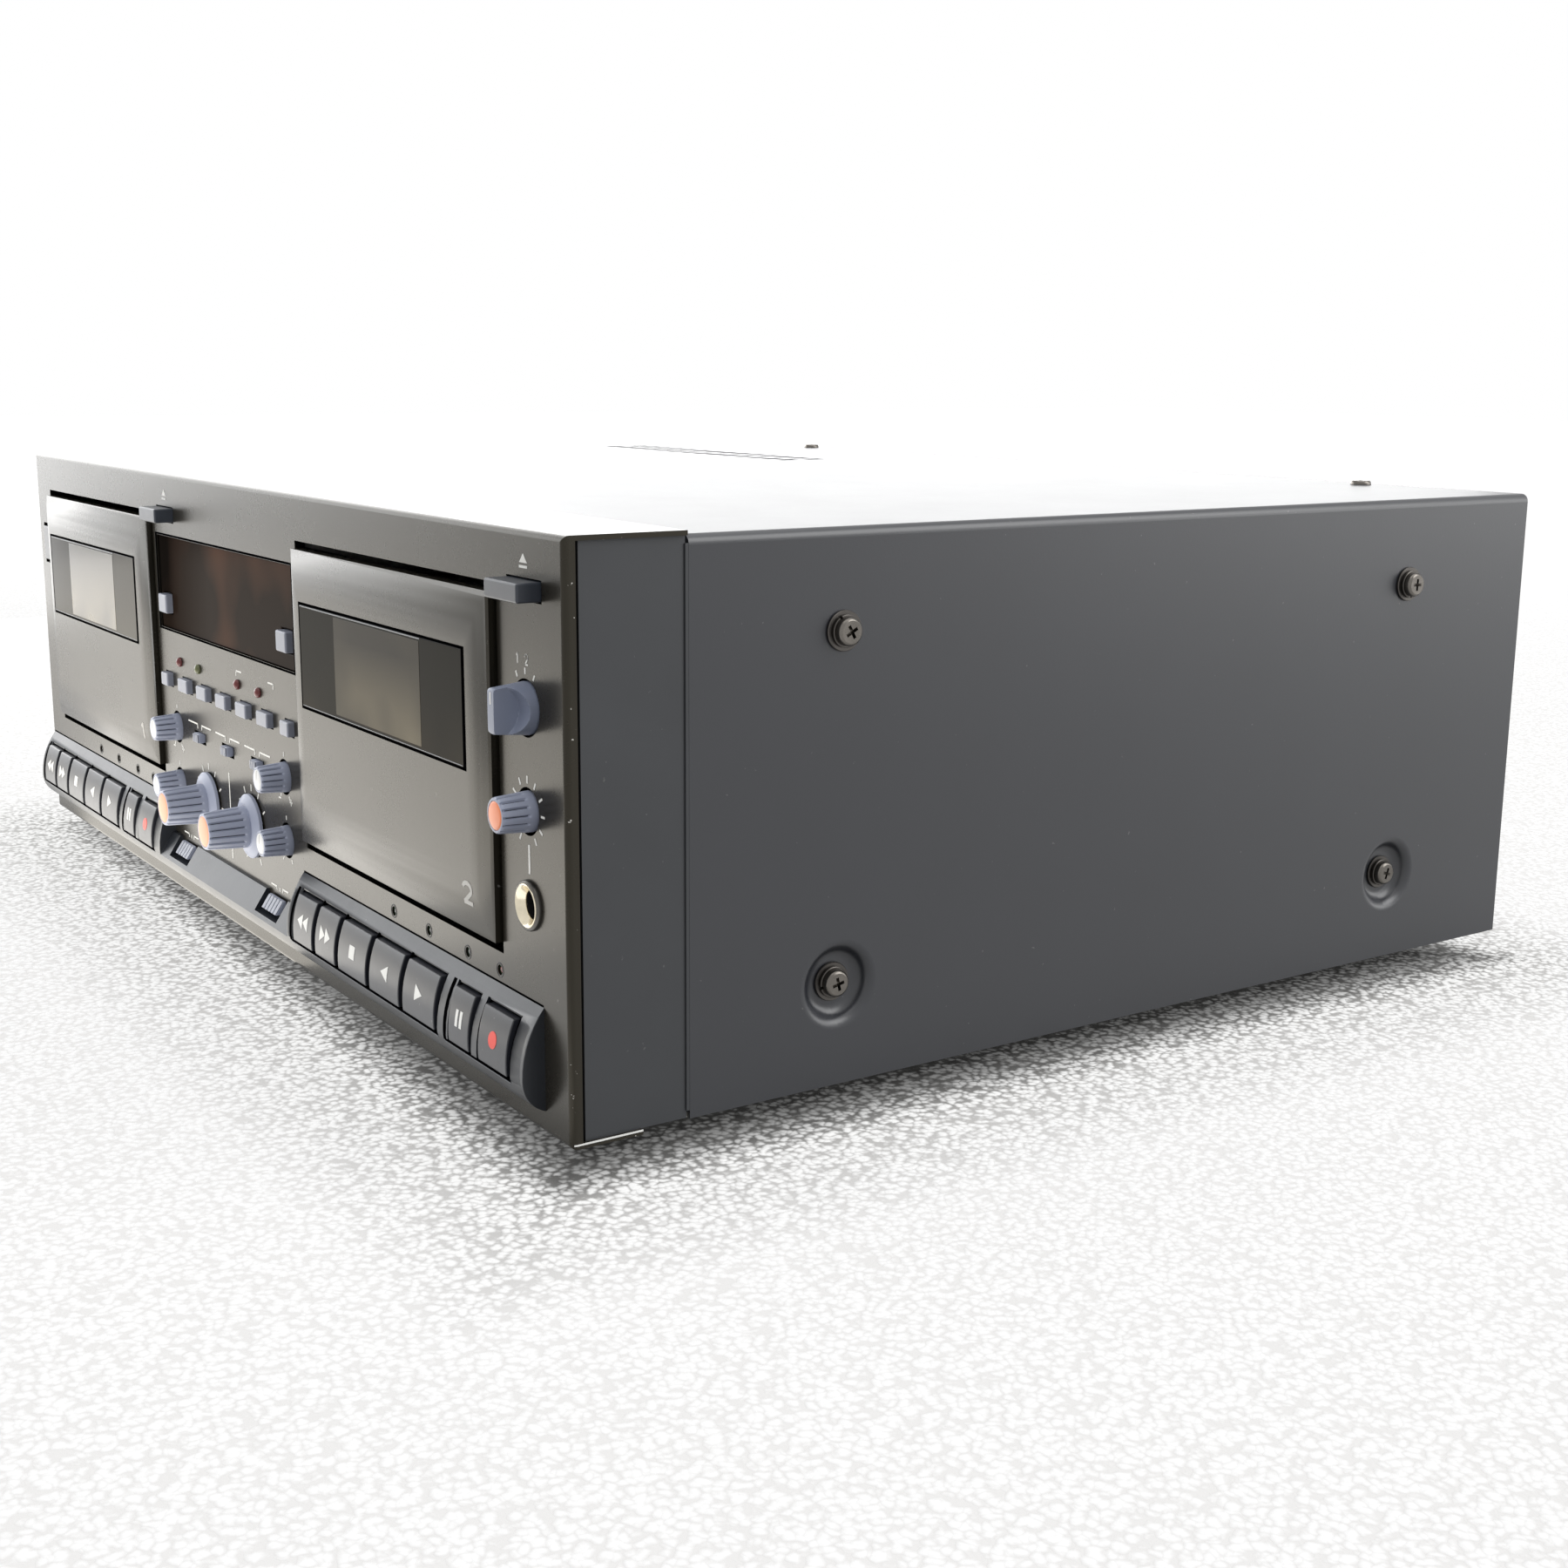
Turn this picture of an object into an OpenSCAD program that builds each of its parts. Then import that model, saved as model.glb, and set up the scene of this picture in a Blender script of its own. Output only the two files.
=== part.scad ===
// Double cassette deck: two tilting cassette doors, a bulging key rail and a
// front full of buttons, knobs and slide switches in a folded sheet casing.
// Millimetres, +Z up, the front faces -Y, origin under the middle of the whole.

/* [Casing] */
// Width of the front panel
panel_w = 436; // [435:1:442]
// Height of the front panel
panel_h = 141; // [140:0.5:146]
// Depth from the panel's face to the back of the cover
case_d = 335; // [325:1:350]
// Thickness of the front panel
panel_t = 3; // [2.6:0.1:3.2]
// Thickness of the sheet metal
sheet_t = 1.2; // [1:0.1:1.4]
// Height of the feet
foot_h = 7; // [5:0.5:12]
// Radius of a foot
foot_r = 18; // [12:1:22]

/* [Cassette doors] */
// Width of a door plate
door_w = 125; // [123:0.5:125.5]
// Lower edge of the doors above the panel's bottom
door_low = 41.6; // [40:0.2:44]
// Strip of panel above the doors
door_head = 15.2; // [14:0.2:18]
// Strip of panel right of the right door
door_side = 34; // [32:0.5:38]
// Strip of panel left of the left door, with the power button
power_strip = 19.5; // [19:0.5:24]
// How far the middle of a door stands out of the panel
door_proud = 3.6; // [3.2:0.1:4.5]
// How far the door's edges fall back from its middle
door_drop = 2; // [1.5:0.1:2.4]
// Width of the door's window
window_w = 106; // [98:1:108]
// Height of the door's window
window_h = 30; // [26:1:30]
// Gap between a door and the panel's opening at each side
door_gap = 1; // [0.6:0.1:1.4]

/* [Keys and rail] */
// How far the key rail bulges out of the panel
rail_proud = 6; // [5.6:0.1:6.8]
// Top edge of the key rail above the panel's bottom
rail_top = 31.1; // [30.8:0.1:31.6]
// Bottom edge of the key rail above the panel's bottom
rail_low = 5.7; // [5:0.1:6.2]
// Width of the rewind and forward keys
wind_key_w = 14.3; // [12:0.1:15]
// Width of the stop, reverse and play keys
play_key_w = 19.2; // [17:0.1:20]
// Width of the pause keys
pause_key_w = 11.3; // [10:0.1:12]
// Width of the record keys
record_key_w = 15.1; // [13:0.1:16]
// Gap between neighbouring keys
key_gap = 2.6; // [2:0.1:3]
// How far a key can be pushed in
key_travel = 1.2; // [0.8:0.1:1.3]

/* [Knobs and buttons] */
// Reach of the two large input knobs in front of the panel
input_reach = 15.5; // [13:0.5:18]
// Body radius of an input knob
input_r = 6.5; // [6:0.1:7]
// Reach of the small knobs
small_reach = 8.4; // [7.5:0.1:10]
// Body radius of a small knob
small_r = 4.6; // [4.2:0.1:4.8]
// Reach of the selector's blade
selector_reach = 8.8; // [8:0.1:10]
// How far a function button stands out
button_proud = 2; // [1.4:0.1:2.6]
// How far an eject button stands out
eject_proud = 6; // [5:0.5:7]

/* [Fits] */
// Radial clearance of a turning or sliding shaft
shaft_fit = 0.05; // [0.03:0.01:0.08]
// Clearance round a button in its hole
button_gap = 0.4; // [0.3:0.05:0.5]

/* [Hidden] */
$fn = 48;
half_w = panel_w / 2;
flange_t = 1.2;
flange_d = 31.6;
frame_y = 31.5;
frame_wall = 2.5;
frame_in = 1.1;
strip_gap = 1.2;
cover_x = half_w - 0.6;
cover_top = panel_h - 1;
cover_low = 1;
cover_y = 32.2;
cover_r = 2.4;
inner_x = cover_x - sheet_t;
inner_top = cover_top - sheet_t;
floor_top = cover_low + sheet_t;
tongue_y = 42;
rear_y = case_d - 2.7;
jack_out = rear_y + sheet_t + 8.5;
mid_y = (jack_out - input_reach) / 2;

// Doors
door_2_x = half_w - door_side - door_w / 2;
door_1_x = power_strip - half_w + door_w / 2;
mid_x = (door_1_x + door_2_x) / 2;
mid_w = door_2_x - door_1_x - door_w;
door_top = panel_h - door_head;
door_h = door_top - door_low;
open_low = door_low - 2.6;
open_top = door_top + 2.1;
door_back = 2;
shoulder = 9.5;
brow_top = door_top - 13.4;
brow_low = door_low + 14.9;
hinge_y = panel_t + 2.2;
hinge_z = door_low + 2;
pin_r = 1.5;
ear_t = 3;
ear_x = door_w / 2 - 0.5;
lug_t = 3;
lug_x = door_w / 2 + door_gap;
holder_x = 51.3;
holder_y = 15;
holder_wall = 2;
holder_low = door_low + 3.4;
holder_top = door_top - 21.8;
holder_lip = 6;
window_z = brow_top - 0.4 - window_h / 2;
window_ledge = 1.8;
glass_t = 1.6;
glass_in = 0.3;

// Right column and power button
side_x = half_w - 19;
eject_z = door_top + 1.9;
eject_w = 16.4;
eject_h = 4.5;
eject_tail = 14;
selector_z = panel_h - 40.4;
selector_r = 6.2;
selector_blade = 3.2;
selector_nose = selector_r - 0.9;
scoop_r = selector_reach - 2.5;
phones_z = selector_z - 24.1;
jack_z = phones_z - 22.3;
jack_r = 6.1;
jack_neck_r = jack_r - 1.1;
neck_fit = 0.05;
plug_r = 3.25;
plug_deep = panel_t + 20;
power_x = 12 - half_w;
power_z = panel_h - 34;
power_w = 8.4;
power_h = 13;
power_travel = 2.5;

// Display and function buttons
display_w = mid_w - 10.1;
display_low = 89.8;
display_top = panel_h - 20.5;
display_in = 0.6;
display_t = 2;
reset_x = display_w / 2 - 6.7;
reset_z = display_low + 8.3;
reset_w = 8;
reset_h = 6.2;
reset_proud = 1.5;
button_pitch = (display_w - 12) / 6;
button_z = 72.7;
button_w = 9.1;
button_end_w = 6.6;
button_h = 4.4;
button_travel = 0.8;
button_back = panel_t + 3;
lamp_z = 79.7;
lamp_dx = -6.5;
lamp_r = 1.3;

// Knobs and slide switches
small_dx = display_w / 2 - 11.9;
pitch_z = 57.2;
balance_z = 38;
small_hole = small_r + 0.8;
input_dx = small_dx * 0.4;
input_z = 36.7;
flange_r = 10;
shaft_r = 3;
small_taper = 0.6;
input_taper = 0.75;
slide_dx = small_dx * 0.54;
slide_z = 57;
slide_w = 5;
slide_h = 3;
slide_travel = 2.5;
slide_gap = 0.6;
stem_w = 3.6;
stem_h = 2.2;
low_slide_z = 16.8;
low_slide_w = 12;
low_slide_h = 4;
low_pocket_w = low_slide_w + 2 * (slide_travel + slide_gap);

// Key rail
rail_mid = rail_low + 8.3;
upper_c = arc_centre(rail_top - rail_mid, rail_proud);
lower_c = arc_centre(rail_mid - rail_low, rail_proud);
rail_wall = 4.8;
rail_tail = 6.4;
rail_bridge = 6;
end_gap = 1.3;
bar_w = 3;
bar_gap = 0.8;
pocket_gap = 0.6;
pocket_head = 1;
key_low = rail_low + 7.2;
key_top = rail_top - 4.4;
key_back = -key_travel - 0.4;
key_stem_r = 1.5;
key_stem_z = (key_low + key_top) / 2 - 0.8;
key_proud = 1;
forward_x = rail_wall + end_gap + wind_key_w + key_gap;
stop_x = forward_x + wind_key_w + key_gap;
reverse_x = stop_x + play_key_w + key_gap;
play_x = reverse_x + play_key_w + key_gap;
group_a_end = play_x + play_key_w + end_gap;
group_b = group_a_end + rail_bridge;
pause_x = group_b + end_gap;
bar_x = pause_x + pause_key_w + bar_gap;
record_x = bar_x + bar_w + 2 * bar_gap;
group_b_end = record_x + record_key_w + end_gap;
rail_len = group_b_end + rail_tail;
// Left and right edge of each key along its rail
key_edges = [
    [rail_wall + end_gap, rail_wall + end_gap + wind_key_w],
    [forward_x, forward_x + wind_key_w],
    [stop_x, stop_x + play_key_w],
    [reverse_x, reverse_x + play_key_w],
    [play_x, play_x + play_key_w],
    [pause_x, pause_x + pause_key_w],
    [record_x, record_x + record_key_w]
];
rail_lamps = [reverse_x + 3.5, play_x + 3.9, pause_x - 0.9, record_x + 0.2];
rail_lamp_z = (rail_top + open_low) / 2 - 0.65;
rail_left_1 = 2.3 - half_w;
rail_left_2 = half_w - 12.6 - rail_len;
strip_w = rail_left_2 - rail_left_1 - rail_len;
mid_ledge = rail_low + 13.9;
mid_slope = 1.525;
low_slide_dx = strip_w / 2 - 18.65;

// Cover and chassis
screw_front = 75.5;
screw_rear = case_d - 54;
screw_high = panel_h - 25.7;
screw_low = 27;
dimple_r = 11.5;
dimple_floor_r = 6.2;
dimple_d = 3.6;
dimple_arc = arc_s(dimple_r - dimple_floor_r, dimple_d);
screw_r = 2;
screw_hole = screw_r + 0.1;
cup_r = 15;
cup_t = 1.5;
wall_top = panel_h - 21;
top_screw_x = half_w - 60;
top_screw_y = rear_y - 4;
vent_w = 5.5;
vent_d = 8;
vent_pitch = 10.6;
vent_count = 14;
vent_x = 13 - half_w;
vent_y = case_d - 88;
foot_x = half_w - 43;
foot_front = 56;
foot_rear = case_d - 45;

// Inside
mech_y = 24;
mech_t = 2;
mech_x = door_w / 2 - 6.5;
mech_low = door_low + 4.4;
mech_top = door_top - 5.8;
flywheel_r = 17;
flywheel_x = 36;
flywheel_z = door_low + 18.4;
motor_r = 13;
motor_z = door_top - 19.8;
spindle_dx = 21.25;
spindle_z = door_low + 39.4;
spindle_r = 1.5;
spindle_tip = 9;
spindle_hub_r = 3.2;
spindle_disc_r = 7;
pot_y = panel_t + 6;
board_y = panel_t + 14;
board_t = 1.6;
board_x = display_w / 2 - 4.2;
key_board_y = panel_t + 9;
post_r = 2.2;
pot_w = 10;
input_pot_w = 14;
switch_w = 6;
main_board = [-20, half_w - 28];
main_board_z = 12;
main_board_front = 70;
main_board_rear = rear_y - 32.3;
standoff_r = 4;
standoff_in = 8;
can_r = 7;
can_h = 22;
coil_x = 68 - half_w;
coil_w = 72;
coil_d = 64;
coil_h = 62;
coil_y = rear_y - 84;

// Rear sockets
socket_x = 60;
socket_pitch = 24;
socket_z = 52;
socket_rise = 22;
socket_r = 4.1;
socket_neck_r = 3.6;
socket_flange_r = 5.4;
inlet_x = 79 - half_w;
inlet_z = 36;
inlet_w = 22;
inlet_h = 12;
inlet_wall = 2;
inlet_rim = 3;
inlet_deep = 14;

panel_col = [0.38, 0.37, 0.35];
cover_col = [0.30, 0.32, 0.35];
dark_col = [0.09, 0.09, 0.10];
key_col = [0.45, 0.46, 0.48];
knob_col = [0.42, 0.45, 0.52];
glass_col = [0.16, 0.14, 0.10];
metal_col = [0.70, 0.69, 0.66];
board_col = [0.20, 0.33, 0.20];

function span(a, b) = [min(a, b), max(a, b)];
function arc_centre(rise, out) = (rise * rise - out * out) / (2 * out);
function arc_s(run, drop) = (run * run + drop * drop) / (4 * drop);
function arc_r(run, drop) = (run * run + drop * drop) / (2 * drop);

// Moves the casing from panel coordinates to the shared origin
module place() {
    translate([0, -mid_y, foot_h]) children();
}

// A box from ranges along x, y and z
module block(x, y, z) {
    translate([x[0], y[0], z[0]]) cube([x[1] - x[0], y[1] - y[0], z[1] - z[0]]);
}

// A rod along y
module rod(x, z, r, y) {
    translate([x, y[1], z]) rotate([90, 0, 0]) cylinder(r = r, h = y[1] - y[0]);
}

// A rod along x
module cross_rod(y, z, r, x) {
    translate([x[0], y, z]) rotate([0, 90, 0]) cylinder(r = r, h = x[1] - x[0]);
}

// A shape drawn in y and z, drawn out along x
module along_x(x) {
    translate([x[0], 0, 0]) rotate([90, 0, 90]) linear_extrude(height = x[1] - x[0]) children();
}

// A knob's own axis, pointing out of the panel
module facing(x, z) {
    translate([x, 0, z]) rotate([90, 0, 0]) children();
}

// Flat plate with rounded front edges
module rounded_plate() {
    edge = 1.5;
    intersection() {
        linear_extrude(height = panel_h) {
            translate([-half_w, edge]) square([panel_w, panel_t - edge]);
            translate([edge - half_w, 0]) square([panel_w - 2 * edge, panel_t]);
            for (s = [-1, 1]) translate([s * (half_w - edge), edge]) circle(r = edge);
        }
        along_x([-half_w, half_w]) {
            translate([edge, 0]) square([panel_t - edge, panel_h]);
            translate([0, edge]) square([panel_t, panel_h - 2 * edge]);
            for (z = [edge, panel_h - edge]) translate([edge, z]) circle(r = edge);
        }
    }
}

module button_hole(x, z, w, h) {
    block([x - w / 2 - button_gap, x + w / 2 + button_gap], [-1, panel_t + 1],
        [z - h / 2 - button_gap, z + h / 2 + button_gap]);
}

// The slot a slide switch's thumb or stem moves in
module slide_slot(x, z, w, h) {
    block([x - w / 2 - slide_travel - slide_gap, x + w / 2 + slide_travel + slide_gap], [-1, panel_t + 1],
        [z - h / 2 - button_gap, z + h / 2 + button_gap]);
}

module hinge_lug(x) {
    difference() {
        block([x - lug_t / 2, x + lug_t / 2], [panel_t - 0.5, hinge_y + pin_r + 1.7],
            [hinge_z - pin_r - 2.5, hinge_z + pin_r + 2.5]);
        cross_rod(hinge_y, hinge_z, pin_r + shaft_fit, [x - lug_t, x + lug_t]);
    }
}

function button_x(i) = mid_x + (i - 4) * button_pitch;
function button_width(i) = (i == 1 || i == 7) ? button_end_w : button_w;
function rail_x(deck) = deck == 1 ? rail_left_1 : rail_left_2;
function door_x(deck) = deck == 1 ? door_1_x : door_2_x;
function eject_x(deck) = door_x(deck) + side_x - door_2_x;

module front_panel() {
    color(panel_col) place() {
        difference() {
            union() {
                rounded_plate();
                block([-half_w, half_w], [panel_t - 1, flange_d], [panel_h - flange_t, panel_h]);
                block([-half_w, half_w], [panel_t - 1, 19], [0, flange_t]);
            }
            for (deck = [1, 2]) {
                block([door_x(deck) - door_w / 2 - door_gap, door_x(deck) + door_w / 2 + door_gap],
                    [-1, panel_t + 1], [open_low, open_top]);
                button_hole(eject_x(deck), eject_z, eject_w, eject_h);
                for (e = key_edges)
                    rod(rail_x(deck) + (e[0] + e[1]) / 2, key_stem_z, key_stem_r + shaft_fit,
                        [-1, panel_t + 1]);
                for (x = rail_lamps) rod(rail_x(deck) + x, rail_lamp_z, lamp_r, [-1, panel_t + 1]);
            }
            block([mid_x - display_w / 2, mid_x + display_w / 2], [-1, panel_t + 1],
                [display_low, display_top]);
            for (i = [1 : 7]) button_hole(button_x(i), button_z, button_width(i), button_h);
            for (i = [2, 3, 5, 6]) rod(button_x(i) + lamp_dx, lamp_z, lamp_r, [-1, panel_t + 1]);
            for (s = [-1, 1]) {
                for (z = [pitch_z, balance_z]) rod(mid_x + s * small_dx, z, small_hole, [-1, panel_t + 1]);
                rod(mid_x + s * input_dx, input_z, shaft_r + 1, [-1, panel_t + 1]);
                slide_slot(mid_x + s * low_slide_dx, low_slide_z, stem_w, stem_h);
            }
            for (s = [-1, 0, 1]) slide_slot(mid_x + s * slide_dx, slide_z, slide_w, slide_h);
            rod(side_x, selector_z, selector_r + 0.6, [-1, panel_t + 1]);
            rod(side_x, phones_z, small_hole + 0.3, [-1, panel_t + 1]);
            rod(side_x, jack_z, jack_neck_r + neck_fit, [-1, panel_t + 1]);
            button_hole(power_x, power_z, power_w, power_h);
            block([power_x - power_w / 2 - 1.2, power_x + power_w / 2 + 1.2], [-1, 1],
                [power_z - power_h / 2 - 1.2, power_z + power_h / 2 + 1.2]);
        }
        for (deck = [1, 2]) for (s = [-1, 1]) hinge_lug(door_x(deck) + s * (lug_x + lug_t / 2));
    }
}

// One ring of the front frame between two depths
module frame_ring(x, low, high, wall, y) {
    difference() {
        block([-x, x], y, [low, high]);
        block([wall - x, x - wall], [y[0] - 1, y[1] + 1], [low + wall, high - wall]);
    }
}

module front_frame() {
    color(cover_col) place() {
        frame_ring(half_w - frame_in - 2, flange_t, panel_h - flange_t, frame_wall,
            [panel_t, panel_t + strip_gap]);
        frame_ring(half_w - frame_in, flange_t, panel_h - flange_t, frame_wall + 2,
            [panel_t + strip_gap, frame_y]);
        intersection() {
            frame_ring(inner_x, floor_top, inner_top, frame_wall, [frame_y, tongue_y]);
            inside_cover([frame_y, tongue_y]);
        }
    }
}

// Outline of the key rail in y and z
module rail_outline(grow) {
    deep = rail_proud + 3;
    intersection() {
        translate([upper_c, rail_mid]) circle(r = upper_c + rail_proud + grow);
        translate([-deep, rail_mid]) square([deep, 40]);
    }
    intersection() {
        translate([lower_c, rail_mid]) circle(r = lower_c + rail_proud + grow);
        translate([-deep, rail_mid - 40]) square([deep, 40]);
    }
}

// Outline of the lower strip between the two key rails
module middle_outline() {
    intersection() {
        rail_outline(0);
        polygon([[0, 0], [0, mid_ledge], [-1, mid_ledge], [-8.5, mid_ledge - 7.5 * mid_slope], [-8.5, 0]]);
    }
}

module key_rail() {
    color(panel_col) place() difference() {
        union() {
            for (deck = [1, 2]) along_x([rail_x(deck), rail_x(deck) + rail_len]) rail_outline(0);
            along_x([rail_x(1) + rail_len, rail_x(2)]) middle_outline();
        }
        for (deck = [1, 2]) translate([rail_x(deck), 0, 0])
            for (x = [[rail_wall, group_a_end], [group_b, bar_x], [bar_x + bar_w, group_b_end]])
                block(x, [-2 * rail_proud, 1], [key_low - pocket_gap, key_top + pocket_head]);
        for (s = [-1, 1])
            block([mid_x + s * low_slide_dx - low_pocket_w / 2, mid_x + s * low_slide_dx + low_pocket_w / 2],
                [-2 * rail_proud, 1], [low_slide_z - low_slide_h / 2 - 1.4, mid_ledge + 2]);
    }
}

module display_window() {
    color(glass_col) place() difference() {
        block([mid_x - display_w / 2, mid_x + display_w / 2], [display_in, display_in + display_t],
            [display_low, display_top]);
        for (s = [-1, 1])
            button_hole(mid_x + s * reset_x, reset_z, reset_w, reset_h);
    }
}

// Upright with a cup that takes a dimple of the cover
module side_upright(s, y) {
    difference() {
        union() {
            block(span(s * inner_x, s * (inner_x - cup_t)), [y - cup_r, y + cup_r],
                [floor_top - 0.5, screw_high + 10]);
            cup_rod(s, y, cup_r, dimple_d + cup_t, 0);
        }
        cup_rod(s, y, dimple_r + cup_t, dimple_d, -1);
        for (z = [screw_low, screw_high])
            cross_rod(y, z, screw_hole, span(s * (inner_x + 1), s * (inner_x - dimple_d - 2 * cup_t)));
    }
}

// A short rod inwards from the cover's inner face at a lower screw
module cup_rod(s, y, r, deep, start) {
    translate([s * (inner_x - start), y, screw_low]) rotate([0, -90 * s, 0])
        cylinder(r = r, h = deep - start);
}

module chassis() {
    color(metal_col) place() {
        block([-inner_x, inner_x], [frame_y, rear_y], [cover_low, floor_top]);
        block([-inner_x, inner_x], [tongue_y, tongue_y + sheet_t], [floor_top, wall_top]);
        for (s = [-1, 1]) for (y = [screw_front, screw_rear]) side_upright(s, y);
    }
}

// Outline of the folded cover in x and z
module cover_outline(x, top, r) {
    translate([-x, cover_low]) square([2 * x, top - r - cover_low]);
    translate([r - x, cover_low]) square([2 * (x - r), top - cover_low]);
    for (s = [-1, 1]) translate([s * (x - r), top - r]) circle(r = r);
}

// The room inside the cover between two depths
module inside_cover(y) {
    translate([0, y[1], 0]) rotate([90, 0, 0]) linear_extrude(height = y[1] - y[0])
        cover_outline(inner_x, inner_top, cover_r - sheet_t);
}

module cover_shell() {
    translate([0, case_d, 0]) rotate([90, 0, 0]) linear_extrude(height = case_d - cover_y)
        difference() {
            cover_outline(cover_x, cover_top, cover_r);
            translate([0, -1]) cover_outline(inner_x, inner_top + 1, cover_r - sheet_t);
        }
}

// What lies below a dimple's outer skin, as radius and height
module below_dimple() {
    low = -3 * dimple_d;
    half = (dimple_r + dimple_floor_r) / 2;
    translate([0, low]) square([dimple_floor_r, -dimple_d - low]);
    difference() {
        translate([dimple_floor_r, low]) square([half - dimple_floor_r, -dimple_d / 2 - low]);
        translate([dimple_floor_r, dimple_arc - dimple_d]) circle(r = dimple_arc);
    }
    translate([half, low]) square([dimple_r - half, -dimple_arc - low]);
    intersection() {
        translate([dimple_r, -dimple_arc]) circle(r = dimple_arc);
        translate([half, -dimple_arc]) square([dimple_r - half, dimple_arc]);
    }
    translate([dimple_r, low]) square([1, -low]);
}

// The pressed skin of a dimple, its axis pointing out of the cover
module dimple_skin() {
    rotate_extrude() difference() {
        below_dimple();
        translate([0, -sheet_t]) below_dimple();
    }
}

module top_cover() {
    color(cover_col) place() difference() {
        union() {
            difference() {
                cover_shell();
                for (s = [-1, 1]) for (y = [screw_front, screw_rear])
                    cross_rod(y, screw_low, dimple_r + 0.5, span(s * (cover_x + 1), s * (inner_x - 1)));
            }
            for (s = [-1, 1]) for (y = [screw_front, screw_rear])
                translate([s * cover_x, y, screw_low]) rotate([0, 90 * s, 0]) dimple_skin();
        }
        for (s = [-1, 1]) for (y = [screw_front, screw_rear]) for (z = [screw_low, screw_high])
            cross_rod(y, z, screw_hole, span(s * (cover_x + 2), s * (inner_x - dimple_d - 2)));
        for (row = [0, 1]) for (i = [0 : vent_count - 1])
            translate([vent_x + i * vent_pitch, vent_y + row * 1.6 * vent_d, inner_top - 1])
                cube([vent_w, vent_d, sheet_t + 2]);
        for (s = [-1, 1])
            translate([s * top_screw_x, top_screw_y, inner_top - 1])
                cylinder(r = screw_hole, h = sheet_t + 2);
    }
}

module rear_panel() {
    color(dark_col) place() difference() {
        union() {
            inside_cover([rear_y, rear_y + sheet_t]);
            block([2 - inner_x, inner_x - 2], [rear_y - 12, rear_y], [inner_top - sheet_t, inner_top]);
        }
        for (i = [0 : 3]) for (j = [0, 1])
            rod(socket_x + i * socket_pitch, socket_z + j * socket_rise, socket_neck_r + neck_fit,
                [rear_y - 1, rear_y + 4]);
        block([inlet_x - inlet_w / 2, inlet_x + inlet_w / 2], [rear_y - 1, rear_y + 4],
            [inlet_z - inlet_h / 2, inlet_z + inlet_h / 2]);
        for (s = [-1, 1])
            translate([s * top_screw_x, top_screw_y, inner_top - 3]) cylinder(r = screw_hole, h = 4);
    }
}

// A cross-recess screw with a spring washer and a flat washer, head towards +z
module washer_screw(shank) {
    difference() {
        union() {
            cylinder(r = 5, h = 0.8);
            translate([0, 0, 0.8]) cylinder(r = 4, h = 0.9);
            translate([0, 0, 1.7]) cylinder(r = 3.5, h = 1.4);
            translate([0, 0, 3.1]) cylinder(r1 = 3.5, r2 = 2.6, h = 0.7);
            translate([0, 0, -shank]) cylinder(r = screw_r, h = shank + 1);
        }
        for (a = [0, 90]) rotate(a) translate([-1.9, -0.4, 2.4]) cube([3.8, 0.8, 4]);
    }
}

module cover_screws() {
    color(metal_col) place() {
        for (s = [-1, 1]) for (y = [screw_front, screw_rear]) {
            translate([s * cover_x, y, screw_high]) rotate([0, 90 * s, 0]) washer_screw(6);
            translate([s * (cover_x - dimple_d), y, screw_low]) rotate([0, 90 * s, 0]) washer_screw(6);
        }
        for (s = [-1, 1]) translate([s * top_screw_x, top_screw_y, cover_top]) washer_screw(4);
    }
}

module feet() {
    color(dark_col) place() for (x = [-foot_x, foot_x]) for (y = [foot_front, foot_rear])
        translate([x, y, -foot_h]) {
            cylinder(r1 = foot_r - 1.5, r2 = foot_r, h = 2);
            translate([0, 0, 2]) cylinder(r = foot_r, h = foot_h + cover_low - 2);
        }
}

module transformer() {
    plate = 16;
    translate([coil_x, coil_y, floor_top]) {
        for (z = [0, coil_h - plate])
            block([-coil_w / 2, coil_w / 2], [-coil_d / 2, coil_d / 2], [z, z + plate]);
        block([-coil_w / 3, coil_w / 3], [-coil_d * 0.65, coil_d * 0.65], [plate - 1, coil_h - plate + 1]);
    }
}

// The body of a rotary control on a board, with the bore for its shaft
module pot(x, z, w) {
    difference() {
        block([x - w / 2, x + w / 2], [pot_y, board_y], [z - w / 2, z + w / 2]);
        rod(x, z, shaft_r + shaft_fit, [pot_y - 1, board_y - 1]);
    }
}

module post(x, z, y1) {
    rod(x, z, post_r, [panel_t, y1]);
}

// Board behind the middle of the front, with its controls and lamps
module middle_board() {
    block([mid_x - board_x, mid_x + board_x], [board_y, board_y + board_t],
        [balance_z - 14, display_top + 1.5]);
    block([mid_x - reset_x + 7.5, mid_x + reset_x - 7.5], [panel_t + 2, board_y],
        [display_low + 3.2, display_top - 2.5]);
    for (s = [-1, 1]) {
        for (z = [pitch_z, balance_z]) pot(mid_x + s * small_dx, z, pot_w);
        pot(mid_x + s * input_dx, input_z, input_pot_w);
        for (z = [(pitch_z + balance_z) / 2, display_low - 6.8])
            post(mid_x + s * (board_x - 2.5), z, board_y);
    }
    for (i = [1 : 7])
        block([button_x(i) - switch_w / 2, button_x(i) + switch_w / 2],
            [button_back + button_travel + 0.6, board_y], [button_z - switch_w / 2, button_z + switch_w / 2]);
    for (i = [2, 3, 5, 6]) rod(button_x(i) + lamp_dx, lamp_z, lamp_r, [0.2, board_y + 1]);
}

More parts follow.
